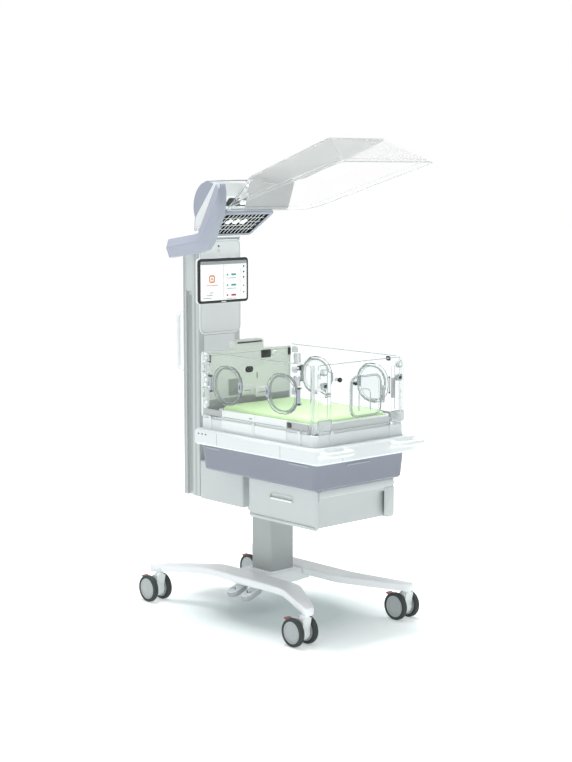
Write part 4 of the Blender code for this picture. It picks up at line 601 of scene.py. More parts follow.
# A round rod or wire along a path.
def tube(name, material, body, path, radius, closed=False, sides=14):
    data = bpy.data.curves.new(name, "CURVE")
    data.dimensions = "3D"
    line = data.splines.new("POLY")
    line.points.add(len(path) - 1)
    for point, place in zip(line.points, path):
        point.co = (*place, 1.0)
    line.use_cyclic_u = closed
    source = added(name + "Path", data)
    values = {sweepIds["Radius"]: radius, sweepIds["Sides"]: sides, sweepIds["Material"]: finishOf(material)}
    return settled(source, name, sweepTree, values, body)


# The same small form several times at an even step.
def repeated(piece, name, count, step, material, body):
    piece.parent = None
    values = {repeatIds["Count"]: count, repeatIds["Step"]: tuple(step),
        repeatIds["Material"]: finishOf(material)}
    settled(piece, name, repeatTree, values, body)


eases = {"merge": 0.00002, "width": 0.001, "flat": 0.8, "smooth": 30.0}


# Gives a clear node its finish; faces that don't look along the axis get the edge's.
def paint(node, material, edge, axis):
    part = nodes[node]
    part.data.materials.clear()
    part.data.materials.append(finishOf(material))
    part.data.materials.append(finishOf(edge))
    for face in part.data.polygons:
        face.material_index = 0 if abs(face.normal.dot(axis)) > 0.6 else 1


def addBevel(piece, width, segments, angle):
    bevel = piece.modifiers.new("bevel", "BEVEL")
    bevel.width = width
    bevel.segments = segments
    bevel.limit_method = "ANGLE"
    bevel.angle_limit = math.radians(angle)


# Applies the modifiers, so that the piece's mesh is plain.
def settleMesh(piece):
    graph = bpy.context.evaluated_depsgraph_get()
    done = bpy.data.meshes.new_from_object(piece.evaluated_get(graph))
    piece.modifiers.clear()
    piece.data = done
    return done


# A merged copy of a node with smooth rounds and fine edges, which stands for it.
def eased(node, material):
    source = nodes[node]
    form = bmesh.new()
    form.from_mesh(source.data)
    bmesh.ops.remove_doubles(form, verts=form.verts, dist=eases["merge"])
    bmesh.ops.dissolve_limit(form, angle_limit=math.radians(eases["flat"]), verts=form.verts,
        edges=form.edges)
    words = node.split("_")
    name = words[0] + "".join(word.title() for word in words[1:]) + "Skin"
    mesh = bpy.data.meshes.new(name)
    for face in form.faces:
        face.smooth = True
    form.to_mesh(mesh)
    form.free()
    piece = added(name, mesh)
    addBevel(piece, eases["width"], 2, eases["smooth"])
    weigh = piece.modifiers.new("weigh", "WEIGHTED_NORMAL")
    weigh.weight = 90
    done = settleMesh(piece)
    done.materials.clear()
    done.materials.append(finishOf(material))
    ridden(piece, source["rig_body"])
    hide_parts(node)


# Casters
casters = {"radius": 0.0625, "inner": 0.0275, "outer": 0.0528, "disc": 0.049, "ring": 0.044}


def makeCaster(corner):
    low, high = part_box("caster_wheels_" + corner)
    middle = (low + high) / 2.0
    body = "wheels_" + corner
    size = casters["radius"]
    inner = casters["inner"]
    outer = casters["outer"]
    disc = casters["disc"]
    ring = casters["ring"]
    tread = [(inner, disc - 0.001), (inner, size - 0.0055), (inner + 0.002, size - 0.0018),
        (inner + 0.006, size), (outer - 0.006, size), (outer - 0.002, size - 0.0018), (outer, size - 0.0055),
        (outer, disc + 0.0012), (outer - 0.0012, disc), (outer - 0.014, disc - 0.001)]
    face = [(inner - 0.0008, disc - 0.0008), (outer - 0.0022, disc - 0.0008),
        (outer - 0.0022, ring + 0.002), (outer - 0.0034, ring), (outer - 0.004, 0.024),
        (outer - 0.0026, 0.0195), (outer - 0.0026, 0.0)]
    for label, axis in (("Left", -across), ("Right", across)):
        tyre = turned("tyre" + label + "_" + corner, "tyreRubber", body, middle, axis, tread, 72)
        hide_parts("caster_wheels_" + corner)
        turned("wheelDisc" + label + "_" + corner, "discGrey", body, middle, axis, face, 72)
        facing = along if along.cross(upward).dot(axis) > 0.0 else -along
        rim("wheelRing" + label + "_" + corner, "gasketGrey", body, middle + (outer - 0.0036) * axis,
            facing, (0.08, 0.08), 0.0016, 0.0009, 0.04, 0.0003)
    turned("axle_" + corner, "brightMetal", body, middle, across, [(-inner, 0.0078), (inner, 0.0078)], 32)
    eased("caster_fork_" + corner, "casterWhite")
    eased("caster_brake_" + corner, "brakeRed")


# Legs: the same run as the frame's, with finer sections
legs = {"inner": 0.11, "outer": 0.22, "tipInner": 0.283, "tipWidth": 0.054, "bendRear": 0.24,
    "bendFront": -0.285, "tipRear": 0.52, "tipFront": -0.56, "top": 0.19, "thickness": 0.034, "drop": 0.018,
    "corner": 0.0065, "square": 3.4, "soft": 0.0009, "steps": 64}


def makeLeg(label, side):
    loops = []
    first = legs["tipFront"]
    last = legs["tipRear"]
    half = legs["tipWidth"] / 2.0
    ends = [0.0012, 0.003, 0.006, 0.01, 0.015, 0.021]
    steps = legs["steps"]
    places = [first + reach for reach in ends]
    places += [first + half + step * (last - first - 2.0 * half) / steps for step in range(steps + 1)]
    places += [last - reach for reach in reversed(ends)]
    for y in places:
        front = y < (legs["bendFront"] + legs["bendRear"]) / 2.0
        bend = legs["bendFront"] if front else legs["bendRear"]
        tip = first if front else last
        beyond = (bend - y) if front else (y - bend)
        share = min((math.sqrt(beyond * beyond + legs["soft"]) + beyond) / 2.0 / abs(tip - bend), 1.0)
        inner = legs["inner"] + share * (legs["tipInner"] - legs["inner"])
        outer = legs["outer"] + share * (legs["tipInner"] + legs["tipWidth"] - legs["outer"])
        toTip = abs(tip - y)
        if toTip < half:
            centre = (inner + outer) / 2.0
            reach = half * (1.0 - ((half - toTip) / half) ** legs["square"]) ** (1.0 / legs["square"])
            inner = centre - reach
            outer = centre + reach
        top = legs["top"] - share * legs["drop"]
        section = roundLoop(outer - inner, legs["thickness"], min(legs["corner"], (outer - inner) * 0.3), 6)
        loops.append([Vector((side * ((inner + outer) / 2.0 + u), y + lineY,
            top - legs["thickness"] / 2.0 + v)) for u, v in section])
    piece = loft("leg" + label.title(), loops, finish("legWhite"), crease=50.0)
    ridden(piece, "base")
    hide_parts("base_leg_" + label)


# Pedals
pedal = {"slope": 19.0, "pivotX": -0.062, "pivotZ": 0.112, "out": 0.04, "drop": 0.002, "length": 0.1,
    "width": 0.058, "thickness": 0.013}


def makePedal(node, middle, way):
    slope = math.radians(pedal["slope"])
    outward = Vector((-math.cos(slope), 0.0, -math.sin(slope)))
    normal = Vector((-math.sin(slope), 0.0, math.cos(slope)))
    start = spot(pedal["pivotX"] - pedal["out"], middle, pedal["pivotZ"] - pedal["drop"])
    centre = start + outward * pedal["length"] / 2.0
    half = pedal["thickness"] / 2.0
    padLevels = ((-half - 0.001, 0.001), (-half + 0.001, -0.002), (0.0, -0.004), (half + 0.007, -0.004),
        (half + 0.0088, -0.002), (half + 0.009, 0.004))
    topLevels = ((half + 0.0086, 0.0), (half + 0.011, 0.0006), (half + 0.0126, 0.003),
        (half + 0.0134, 0.008), (half + 0.0138, 0.016))
    for part, look, levels in (("Pad", "pedalLavender", padLevels), ("Top", "shellWhite", topLevels)):
        loops = []
        for rise, inset in levels:
            loop = roundLoop(pedal["length"] - 2.0 * inset, pedal["width"] - 2.0 * inset,
                pedal["width"] / 2.0 - inset, 12)
            loops.append([centre + u * outward + v * along + rise * normal for u, v in loop])
        ridden(loft(node + part, loops, finish(look), crease=60.0), node)
    eased(node, "pedalLavender")
    tip = centre + outward * (0.014 - way * 0.006) + normal * (half + 0.014)
    turns = ((-0.015, 0.014), (0.0, 0.0), (0.015, 0.014))
    path = [tip + along * reach + outward * (way * depth) for reach, depth in turns]
    bar(node + "Chevron", "inkDark", node, path, normal, 0.0027, 0.0004, 0.0002)


# Tower, monitor and column
tower = {"half": 0.128, "faceY": 0.3857, "backY": 0.51, "gripX": 0.1, "gripOut": 0.578, "gripLow": 1.07,
    "gripHigh": 1.35, "screwX": 0.08, "screwHeights": (0.52, 0.9, 1.28, 1.64)}


def makeTower():
    for node, look in (
        ("column_outer", "columnGrey"), ("column_inner", "railGrey"), ("rear_housing", "drawerGrey"),
        ("tower_rail_left", "railGrey"), ("tower_rail_right", "railGrey"), ("tower_front_cover", "panelGrey"),
        ("tower_rear_cover", "panelGrey"), ("tower_upper_panel", "panelGrey"), ("tower_cap", "bandGrey"),
        ("base_crossbeam", "legWhite"), ("pedal_bracket", "darkMetal"),
    ):
        eased(node, look)
    face = tower["faceY"]
    plate("sensorDot", "inkDark", "chassis", spot(-0.011, face, 1.658), across, (0.01, 0.01), 0.0012, 0.005)
    rims("chassis", across, (
        ("sensorRing", "bandGrey", spot(-0.011, face, 1.637), (0.012, 0.012), 0.002, 0.001, 0.006),
        ("panelEdge", "bandGrey", spot(0.0, face, 1.47), (0.24, 0.424), 0.0022, 0.0006, 0.026),
    ))
    x = -tower["half"]
    plates("chassis", -along, (
        ("grooveShade", "bandGrey", spot(x + 0.0151, 0.462, 0.965), (0.034, 0.93), 0.0006, 0.001),
        ("railBandFront", "bandGrey", spot(x, 0.4185, 1.087), (0.012, 1.19), 0.0005, 0.002),
        ("railBandRear", "bandGrey", spot(x, 0.4965, 1.087), (0.01, 1.19), 0.0005, 0.002),
    ))
    makeGrips()
    makeBackCover()


def makeGrips():
    root = tower["backY"] + 0.0003
    far = tower["gripOut"]
    low = tower["gripLow"]
    high = tower["gripHigh"]
    for side, label in sides:
        gripX = side * tower["gripX"]
        corners = ((root, low), (far, low), (far, high), (root, high))
        path = bent([spot(gripX, y, z) for y, z in corners], 0.034, 8)
        grip = tube("gripTube_" + label, "shellWhite", "chassis", path, 0.01, sides=28)
        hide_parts("push_handle_" + label)
        for z in (low, high):
            turned("gripFoot_" + label + str(int(z * 1000)), "railGrey", "chassis", spot(gripX, root, z),
                along, [(-0.0002, 0.015), (0.004, 0.015), (0.0065, 0.0125), (0.0065, 0.0)], 36)


# The seams, the vents and the screws of the covers.
def makeBackCover():
    back = tower["backY"]
    plate("coverSeam", "seamGrey", "chassis", spot(0.0, 0.394, 1.246), across, (0.186, 0.0016), 0.0003,
        0.0004, 0.0001)
    plate("rearSeam", "seamGrey", "chassis", spot(0.0, back, 1.3), -across, (0.186, 0.0016), 0.0003,
        0.0004, 0.0001)
    slot = plate("rearVent", "inkDark", "chassis", spot(0.0, back, 0.64), -across, (0.11, 0.004),
        0.0006, 0.002)
    repeated(slot, "rearVents", 8, (0.0, 0.0, 0.012), "inkDark", "chassis")
    head = [(-0.0005, 0.0042), (0.001, 0.004), (0.0016, 0.0026), (0.001, 0.0012), (0.001, 0.0)]
    for x in (-tower["screwX"], tower["screwX"]):
        for z in tower["screwHeights"]:
            turned("coverScrew" + str(int(x * 1000)) + "_" + str(int(z * 1000)), "brightMetal", "chassis",
                spot(x, back, z), along, head, 20)


screen = {"faceY": 0.362, "low": 1.408, "high": 1.59, "half": 0.14}


def makeMonitor():
    eased("monitor_screen", "bezelBlack")
    eased("monitor_housing", "panelGrey")
    y = screen["faceY"]
    middle = (screen["low"] + screen["high"]) / 2.0
    tall = screen["high"] - screen["low"]
    body = "chassis"

    def mark(name, ink, x, z, wide, high, corner=0.001, rise=0.0011):
        plate(name, ink, body, spot(x, y, z), across, (wide, high), rise, corner, 0.0002, 0.0)

    mark("screenGlass", "screenWhite", 0.0, middle, 2.0 * screen["half"], tall, 0.006, 0.0008)
    mark("screenBar", "inkGrey", 0.0, screen["high"] - 0.008, 2.0 * screen["half"], 0.016, 0.004)
    mark("screenSplitLeft", "inkGrey", -0.002, middle - 0.008, 0.0016, tall - 0.02)
    mark("screenSplitRight", "inkGrey", 0.105, middle - 0.008, 0.0016, tall - 0.02)
    rim("screenSymbol", "inkOrange", body, spot(-0.072, y, 1.508), across, (0.036, 0.036), 0.0075,
        0.0012, 0.01)
    mark("screenSymbolCore", "inkOrange", -0.072, 1.508, 0.008, 0.014, 0.004)
    mark("screenLine", "inkOrange", -0.072, 1.478, 0.07, 0.003)
    for name, ink, z in (("screenDotA", "inkTeal", 1.525), ("screenDotB", "inkTeal", 1.476),
            ("screenDotC", "inkRed", 1.429)):
        mark(name, ink, 0.022, z, 0.01, 0.01, 0.005)
        mark(name + "Value", ink, 0.06, z, 0.03, 0.009, 0.003)
        mark(name + "Note", "inkGrey", 0.048, z - 0.016, 0.06, 0.003)
    for index, z in enumerate((1.561, 1.535, 1.51, 1.47, 1.44)):
        mark("screenIcon" + str(index), "inkDark" if index < 3 else "inkGrey", 0.122, z, 0.009, 0.009, 0.003)
    for row in range(3):
        mark("screenRow" + str(row), "inkGrey", -0.1 + 0.012 * row, 1.42 + 0.012 * row,
            0.052 - 0.014 * row, 0.0035)
    plate("monitorLozenge", "panelGrey", body, spot(0.0, y, 1.4005), across, (0.03, 0.005), 0.0008, 0.0025)


# Cot body
cot = {"sideX": 0.307, "footY": -0.597, "gripIn": 0.146, "gripOut": 0.284, "gripReach": -0.6505,
    "gripZ": 0.832}
drawer = {"faceX": -0.21, "middleY": -0.272, "gripY": -0.2685, "gripZ": 0.5885}


def makeCot():
    for node, look in (
        ("bed_tub", "tubLavender"), ("platform_frame", "rimWhite"), ("drawer_frame", "drawerGrey"),
        ("drawer", "drawerGrey"), ("tilt_support", "tubInside"), ("mattress_tray", "panelGrey"),
    ):
        eased(node, look)
    for side, word in sides:
        label = word.title()
        right = rightOf(side)
        face = side * cot["sideX"]
        for index, y in enumerate((0.054, -0.366)):
            plate("sideSeam" + label + str(index), "seamGrey", "chassis", spot(face, y, 0.816), right,
                (0.0016, 0.052), 0.0003, 0.0004, 0.0001)
        for index, y in enumerate((0.13, 0.155, 0.18)):
            plate("sideDot" + label + str(index), "inkDark", "chassis", spot(face, y, 0.832), right,
                (0.011, 0.006), 0.0008, 0.003)
        for part, y, length in (("Head", 0.1185, 0.098), ("Foot", -0.447, 0.12)):
            plate("tubSlot" + part + label, "slotLavender", "chassis", spot(side * 0.2745, y, 0.766), right,
                (length, 0.007), 0.0016, 0.003)
    plates("chassis", across, (
        ("tubSlotEnd", "slotLavender", spot(-0.0235, -0.5565, 0.76), (0.139, 0.007), 0.0016, 0.003),
        ("footSeam", "seamGrey", spot(-0.158, cot["footY"], 0.816), (0.0016, 0.052), 0.0003, 0.0004,
            0.0001),
    ))
    for side, label in sides:
        inner = side * cot["gripIn"]
        outer = side * cot["gripOut"]
        start = cot["footY"] - 0.0002
        far = cot["gripReach"]
        corners = ((inner, start), (inner, far), (outer, far), (outer, start))
        path = bent([spot(x, y, cot["gripZ"]) for x, y in corners], 0.03, 8)
        handle = bar("footLoop_" + label, "shellWhite", "chassis", path, upward, 0.0136, 0.0112, 0.0085)
        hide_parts("foot_handle_" + label)
        for place in (inner, outer):
            plate("footLoopSeat" + label + str(int(place * 1000)), "panelGrey", "chassis",
                spot(place, cot["footY"], 0.828), across, (0.04, 0.034), 0.003, 0.01, 0.0012)
    makeDrawer()
    plate("trayPull", "bandGrey", "tray", spot(0.0, -0.496, 0.9175), across, (0.126, 0.022), 0.0008, 0.004)
    tube("trayPullLip", "panelGrey", "tray", [spot(-0.06, -0.4985, 0.93), spot(0.06, -0.4985, 0.93)], 0.0016)


def makeDrawer():
    drawerX = drawer["faceX"]
    middle = drawer["middleY"]
    gripY = drawer["gripY"]
    gripZ = drawer["gripZ"]
    rims("drawer", -along, (
        ("drawerBorder", "drawerGrey", spot(drawerX, middle, 0.5648), (0.428, 0.166), 0.0024,
            0.0006, 0.012),
        ("drawerGripRim", "drawerGrey", spot(drawerX, gripY, gripZ), (0.162, 0.036), 0.0065, 0.0018, 0.014),
    ))
    plates("drawer", -along, (
        ("drawerGripFloor", "drawerGrey", spot(drawerX + 0.0085, gripY, gripZ), (0.1484, 0.0224), 0.002,
            0.0088),
        # The white lip is a painted highlight along the grip's lower edge; the drawer itself is grey.
        ("drawerGripLip", "shellWhite", spot(drawerX + 0.004, gripY, gripZ - 0.008), (0.14, 0.009), 0.007,
            0.004, 0.0024),
        ("drawerLip", "drawerGrey", spot(drawerX, middle, 0.4855), (0.418, 0.01), 0.005, 0.004, 0.0015),
    ))
    for side, y in (("Foot", -0.492), ("Head", -0.052)):
        right = across if side == "Foot" else -across
        plates("chassis", right, (
            ("drawerRail" + side, "drawerGrey", spot(0.03, y, 0.634), (0.456, 0.036), 0.009, 0.015, 0.005),
            ("drawerEdge" + side, "drawerGrey", spot(0.233, y, 0.55), (0.06, 0.128), 0.003, 0.006, 0.002),
        ))
    rim("drawerEnd", "drawerGrey", "chassis", spot(0.266, middle, 0.565), along, (0.404, 0.15), 0.006,
        0.0014, 0.014)


# Mattress
mattress = {"crown": 0.0065, "shrink": 0.004, "voxel": 0.006, "pressure": 4.0, "reach": 0.0045,
    "room": 0.001, "frames": 20}


# The pad before it swells: round edges and a low crown.
def mattressStart():
    low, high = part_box("mattress")
    middle = (low + high) / 2.0
    size = high - low
    shrink = mattress["shrink"]
    tall = size.z
    levels = ((0.0006, 0.01), (0.002, 0.005), (0.006, 0.0015),
        (0.012, 0.0), (tall * 0.7, 0.0), (tall - 0.01, 0.002), (tall - 0.004, 0.006), (tall - 0.001, 0.013),
        (tall + mattress["crown"] * 0.35, 0.03), (tall + mattress["crown"] * 0.7, 0.065),
        (tall + mattress["crown"] * 0.92, 0.11), (tall + mattress["crown"], 0.16))
    loops = []
    for rise, inset in levels:
        shape = roundLoop(size.x - 2.0 * (inset + shrink), size.y - 2.0 * (inset + shrink),
            max(0.022 - inset * 0.05, 0.006), 8)
        loops.append([Vector((middle.x + u, middle.y + v, low.z + rise)) for u, v in shape])
    return loft("mattressPad", loops, finish("mattressVinyl"), crease=180.0), low, high


# Swells the pad as a filled cover, no further than its reach and its tray allow.
def swell(pad, low, high):
    scene = bpy.context.scene
    bpy.ops.object.select_all(action="DESELECT")
    bpy.context.view_layer.objects.active = pad
    pad.select_set(True)
    pad.data.remesh_voxel_size = mattress["voxel"]
    bpy.ops.object.voxel_remesh()
    before = [vertex.co.copy() for vertex in pad.data.vertices]
    cloth = pad.modifiers.new("cloth", "CLOTH")
    rules = cloth.settings
    rules.quality = 5
    rules.mass = 0.3
    rules.tension_stiffness = 12.0
    rules.compression_stiffness = 12.0
    rules.bending_stiffness = 1.5
    rules.use_pressure = True
    rules.uniform_pressure_force = mattress["pressure"]
    rules.effector_weights.gravity = 0.0
    cloth.point_cache.frame_start = 1
    cloth.point_cache.frame_end = mattress["frames"]
    for number in range(1, mattress["frames"] + 1):
        scene.frame_set(number)
    graph = bpy.context.evaluated_depsgraph_get()
    moved = bpy.data.meshes.new_from_object(pad.evaluated_get(graph))
    pad.modifiers.clear()
    room = mattress["room"]
    for vertex, start, after in zip(pad.data.vertices, before, moved.vertices):
        change = after.co - start
        if change.length > mattress["reach"]:
            change = change.normalized() * mattress["reach"]
        place = start + change
        place.x = min(max(place.x, low.x - room), high.x + room)
        place.y = min(max(place.y, low.y - room), high.y + room)
        place.z = max(place.z, low.z + 0.0002)
        vertex.co = place
    bpy.data.meshes.remove(moved)
    scene.frame_set(1)
    smooth = pad.modifiers.new("smooth", "SUBSURF")
    smooth.levels = 1
    smooth.render_levels = 1
    settleMesh(pad)
    pad.data.shade_smooth()


def makeMattress():
    pad, low, high = mattressStart()
    swell(pad, low, high)
    pad.data.materials.clear()
    pad.data.materials.append(finish("mattressVinyl"))
    ridden(pad, "tray")
    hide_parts("mattress")
    middle = (low + high) / 2.0
    outline = roundLoop(high.x - low.x - 0.0016, high.y - low.y - 0.0016, 0.024, 8)
    path = [Vector((middle.x + u, middle.y + v, low.z + 0.03)) for u, v in outline]
    tube("mattressWelt", "welt", "tray", path, 0.0013, closed=True, sides=10)


# Clear walls and their fittings
walls = {"x": 0.268, "footY": -0.545, "cornerX": 0.22, "clampX": 0.226, "portZ": 1.062, "rearY": 0.016,
    "frontY": -0.345, "width": 0.168, "height": 0.148}

knuckle = [(-0.03, 0.0062), (-0.0296, 0.0068), (0.0296, 0.0068), (0.03, 0.0062)]  # hinge pin: along, radius


def makePort(label, side, port):
    door = "port_door_" + port + "_" + label
    wall = "wall_" + label
    y = walls["rearY"] if port == "rear" else walls["frontY"]
    right = rightOf(side)
    name = port.title() + label.title()
    outer = side * (walls["x"] + 0.0093)
    centre = spot(outer, y, walls["portZ"])
    wide = walls["width"]
    high = walls["height"]
    paint(door, "clearDoor", "clearEdge", across)
    rims(door, right, (
        ("doorRimOuter" + name, "lineGrey", centre, (wide + 0.026, high + 0.026), 0.003, 0.0014, 0.083),
        ("doorRimClear" + name, "clearSheet", centre, (wide + 0.018, high + 0.018), 0.008, 0.003, 0.079),
        ("doorRimInner" + name, "lineGrey", centre, (wide - 0.002, high - 0.002), 0.0018, 0.0012, 0.07),
    ))
    rim("portSeal" + name, "gasketGrey", wall, spot(side * (walls["x"] - 0.006), y, walls["portZ"]), -right,
        (wide + 0.012, high + 0.012), 0.007, 0.002, 0.076)
    way = 1.0 if port == "rear" else -1.0
    hingeY = y + way * (wide / 2.0 + 0.025)
    axis = spot(side * (walls["x"] + 0.0113), hingeY, walls["portZ"])
    turned("doorHinge" + name, "latchLavender", door, axis, upward, knuckle, 32)
    for end, shift in (("Top", 0.0302), ("Low", -0.0382)):
        turned("doorHingeCap" + end + name, "inkDark", wall, axis + upward * shift, upward,
            [(0.0, 0.006), (0.0006, 0.0066), (0.0074, 0.0066), (0.008, 0.006)], 28)
    latchY = y - way * (wide / 2.0 + 0.006)
    plates(door, right, (
        ("doorLatch" + name, "latchLavender", spot(outer, latchY, walls["portZ"]), (0.02, 0.046), 0.0046,
            0.006, 0.0016),
        ("doorLatchMark" + name, "inkDark", spot(outer + side * 0.0046, latchY, walls["portZ"]),
            (0.006, 0.018), 0.0008, 0.002, 0.0003, 0.0002),
    ))


def makeSideWall(label, side):
    wall = "wall_" + label
    right = rightOf(side)
    face = side * walls["x"]
    paint(wall, "clearSheet", "clearEdge", across)
    name = label.title()

    def on(out, y, z):
        return spot(face + side * out, y, z)

    plates(wall, right, (
        ("wallFlap" + name, "shellWhite", on(0.004, -0.1565, 0.93), (0.427, 0.033), 0.0022, 0.004,
            0.001, 0.003),
        ("wallRailFoot" + name, "plateGrey", on(0.004, -0.4385, 0.93), (0.13, 0.028), 0.0018, 0.004,
            0.001, 0.003),
        ("wallRailHead" + name, "plateGrey", on(0.004, 0.123, 0.93), (0.122, 0.028), 0.0018, 0.004,
            0.001, 0.003),
        ("wallApron" + name, "drawerGrey", on(0.0, -0.168, 0.9058), (0.67, 0.0124), 0.0008, 0.001,
            0.0003, 0.001),
    ))
    plate("flapLow" + name, "shellWhite", "chassis", spot(side * 0.2722, -0.1565, 0.884), right,
        (0.427, 0.038), 0.0034, 0.005, 0.0012, 0.0)
    plates(wall, right, (
        ("flapSlot" + name, "seamGrey", on(0.0062, -0.1565, 0.918), (0.4, 0.0016), 0.0003, 0.0006, 0.0001,
            0.0002),
        ("railLatch" + name, "panelGrey", on(0.0062, -0.144, 0.9315), (0.04, 0.022), 0.004, 0.005, 0.0014),
        ("railLatchMark" + name, "seamGrey", on(0.0102, -0.144, 0.9315), (0.02, 0.004), 0.0006, 0.002,
            0.0002, 0.0002),
        ("railCatch" + name, "inkDark", on(0.0062, -0.39, 0.9315), (0.024, 0.022), 0.004, 0.004, 0.0012),
        ("cornerLatch" + name, "darkMetal", on(0.0, -0.446, 1.181), (0.022, 0.02), 0.006, 0.005, 0.0016),
    ))
    turned("cornerLatchPin" + name, "brightMetal", wall, on(0.0055, -0.446, 1.181), across * side,
        [(0.0, 0.0055), (0.003, 0.0055), (0.004, 0.0045), (0.004, 0.0)], 24)
    for index, z in enumerate((1.128, 1.02)):
        plate("wallKeeper" + name + str(index), "clearClamp", wall, on(0.0, 0.158, z), right,
            (0.026, 0.052), 0.024, 0.006, 0.003)
        turned("wallKeeperPin" + name + str(index), "brightMetal", wall, on(0.0235, 0.158, z + 0.012),
            across * side, [(0.0, 0.0072), (0.005, 0.0072), (0.0062, 0.0058), (0.0062, 0.0)], 28)
        plate("wallKeeperMark" + name + str(index), "lineGrey", wall, on(0.0238, 0.158, z - 0.014), right,
            (0.014, 0.005), 0.001, 0.002, 0.0003)
    for index, z in enumerate((1.172, 1.074, 0.972)):
        plates(wall, right, (
            ("wallClamp" + name + str(index), "clearClamp", on(0.0, 0.164, z), (0.036, 0.03), 0.006, 0.007,
                0.0018),
            ("wallClampCore" + name + str(index), "barGrey", on(0.0058, 0.164, z), (0.018, 0.012), 0.0016,
                0.004, 0.0006),
        ))
    tube("wallTopLine" + name, "gasketGrey", wall, [spot(side * (walls["x"] - 0.003), -0.5, 1.1972),
        spot(side * (walls["x"] - 0.003), 0.182, 1.1972)], 0.0016)
    for port in ("front", "rear"):
        makePort(label, side, port)


def makeFootWall():
    paint("wall_foot", "clearSheet", "clearEdge", along)
    paint("foot_hatch", "clearDoor", "clearEdge", along)
    y = walls["footY"]
    body = "wall_foot"
    plates(body, across, (
        ("footRail", "drawerGrey", spot(0.0, y - 0.004, 0.93), (0.34, 0.03), 0.002, 0.004, 0.001, 0.003),
        ("footApron", "drawerGrey", spot(0.0, y, 0.9058), (0.5, 0.0124), 0.0008, 0.001, 0.0003, 0.001),
    ))
    hatch = spot(0.023, y - 0.0093, 1.0485)
    rims("foot_hatch", across, (
        ("hatchRimDark", "seamGrey", hatch, (0.186, 0.18), 0.0026, 0.0012, 0.038),
        ("hatchRimLight", "gasketGrey", hatch, (0.176, 0.17), 0.004, 0.002, 0.034),
    ))
    slot = [spot(-0.022, y - 0.0102, 0.985), spot(-0.022, y - 0.0102, 1.082),
        spot(0.049, y - 0.0102, 1.076), spot(0.049, y - 0.0102, 0.981)]
    tube("hatchSlotLine", "gasketGrey", "foot_hatch", bent(slot, 0.03, 10), 0.0017)
    shifts = (across * 0.006, Vector((0.006, 0.0, -0.006)), Vector((-0.006, 0.0, -0.006)), across * -0.006)
    inner = [point + shift for point, shift in zip(slot, shifts)]
    tube("hatchSlotInner", "shellWhite", "foot_hatch", bent(inner, 0.026, 10), 0.0012)
    hingeX = 0.126
    turned("hatchHinge", "plateGrey", "foot_hatch", spot(hingeX, y - 0.0113, 1.0465), upward, knuckle, 32)
    plate("hatchLatch", "brightMetal", "foot_hatch", spot(-0.052, y - 0.0093, 1.108), across,
        (0.026, 0.018), 0.006, 0.004, 0.0014)
    turned("hatchLatchKnob", "knobBlack", "foot_hatch", spot(-0.058, y - 0.015, 1.108),
        -along, [(0.0, 0.0045), (0.004, 0.0045), (0.006, 0.0075), (0.011, 0.0085), (0.0155, 0.0065),
        (0.0175, 0.0)], 32)
    plates(body, across, (
        ("footHinge", "plateGrey", spot(0.198, y, 1.066), (0.02, 0.092), 0.005, 0.006, 0.0016),
        ("footHingeMark", "bandGrey", spot(0.198, y - 0.005, 1.066), (0.008, 0.07), 0.0012, 0.003, 0.0004),
    ))
    for side, word in sides:
        label = word.title()
        clampX = side * walls["clampX"]
        cornerX = side * walls["cornerX"]
        for index, z in enumerate((1.168, 1.11)):
            plates(body, across, (
                ("footClamp" + label + str(index), "clearClamp", spot(clampX, y, z), (0.03, 0.03), 0.016,
                    0.006, 0.002),
                ("footClampCore" + label + str(index), "darkMetal" if index else "barGrey",
                    spot(clampX, y - 0.0158, z), (0.016, 0.014), 0.0024, 0.005, 0.0008),
            ))
        plate("cornerFoot" + label, "clearClamp", body, spot(cornerX, y - 0.004, 0.94), across,
            (0.078, 0.05), 0.005, 0.008, 0.0014, 0.003)
        rim("cornerFootLine" + label, "lineGrey", body, spot(cornerX, y - 0.009, 0.94), across,
            (0.074, 0.046), 0.0012, 0.0005, 0.007, 0.0002, 0.0002)
        plate("cornerShield" + label, "clearSheet", body, spot(cornerX, y, 1.068), across, (0.078, 0.196),
            0.004, 0.008, 0.0012)
        rim("cornerShieldLine" + label, "gasketGrey", body, spot(cornerX, y - 0.004, 1.068), across,
            (0.076, 0.194), 0.0014, 0.0005, 0.008, 0.0002, 0.0002)
        plate("cornerShieldRib" + label, "gasketGrey", body, spot(side * 0.204, y - 0.004, 1.068), across,
            (0.0022, 0.188), 0.001, 0.001, 0.0003)
    strip = bent([spot(0.236, y - 0.004, 0.955), spot(0.236, y - 0.004, 1.076)], 0.01)
    tube("tubingStrip", "shellWhite", body, strip, 0.0036)
    clip = turned("tubingClip", "shellWhite", body, spot(0.236, y - 0.004, 0.965), upward,
        [(-0.004, 0.0062), (-0.003, 0.0072), (0.003, 0.0072), (0.004, 0.0062)], 24)
    repeated(clip, "tubingClips", 5, (0.0, 0.0, 0.026), "shellWhite", body)
    tube("footTopLine", "gasketGrey", body,
        [spot(-0.24, y + 0.003, 1.1972), spot(0.24, y + 0.003, 1.1972)], 0.0016)
    low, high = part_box("foot_wall_knob")
    middle = (low + high) / 2.0
    centre = Vector((middle.x, y + lineY, middle.z))
    knob = turned("knobBall", "knobBlack", "foot_wall_knob", centre, -along,
        [(0.007, 0.005), (0.0085, 0.0082), (0.011, 0.0102), (0.014, 0.011), (0.017, 0.0106), (0.02, 0.0092),
        (0.0226, 0.0066), (0.0242, 0.003), (0.0245, 0.0)], 48)
    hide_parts("foot_wall_knob")
    turned("knobShaft", "brightMetal", "foot_wall_knob", centre,
        -along, [(-0.011, 0.0085), (-0.0066, 0.0088), (-0.0062, 0.0044), (0.0003, 0.0044), (0.0003, 0.0082),
        (0.0035, 0.0082), (0.0045, 0.006), (0.008, 0.0052)], 40)


# Head console
console = {"faceY": 0.178, "clipX": 0.244, "clipTop": 1.165, "clipLow": 1.075}


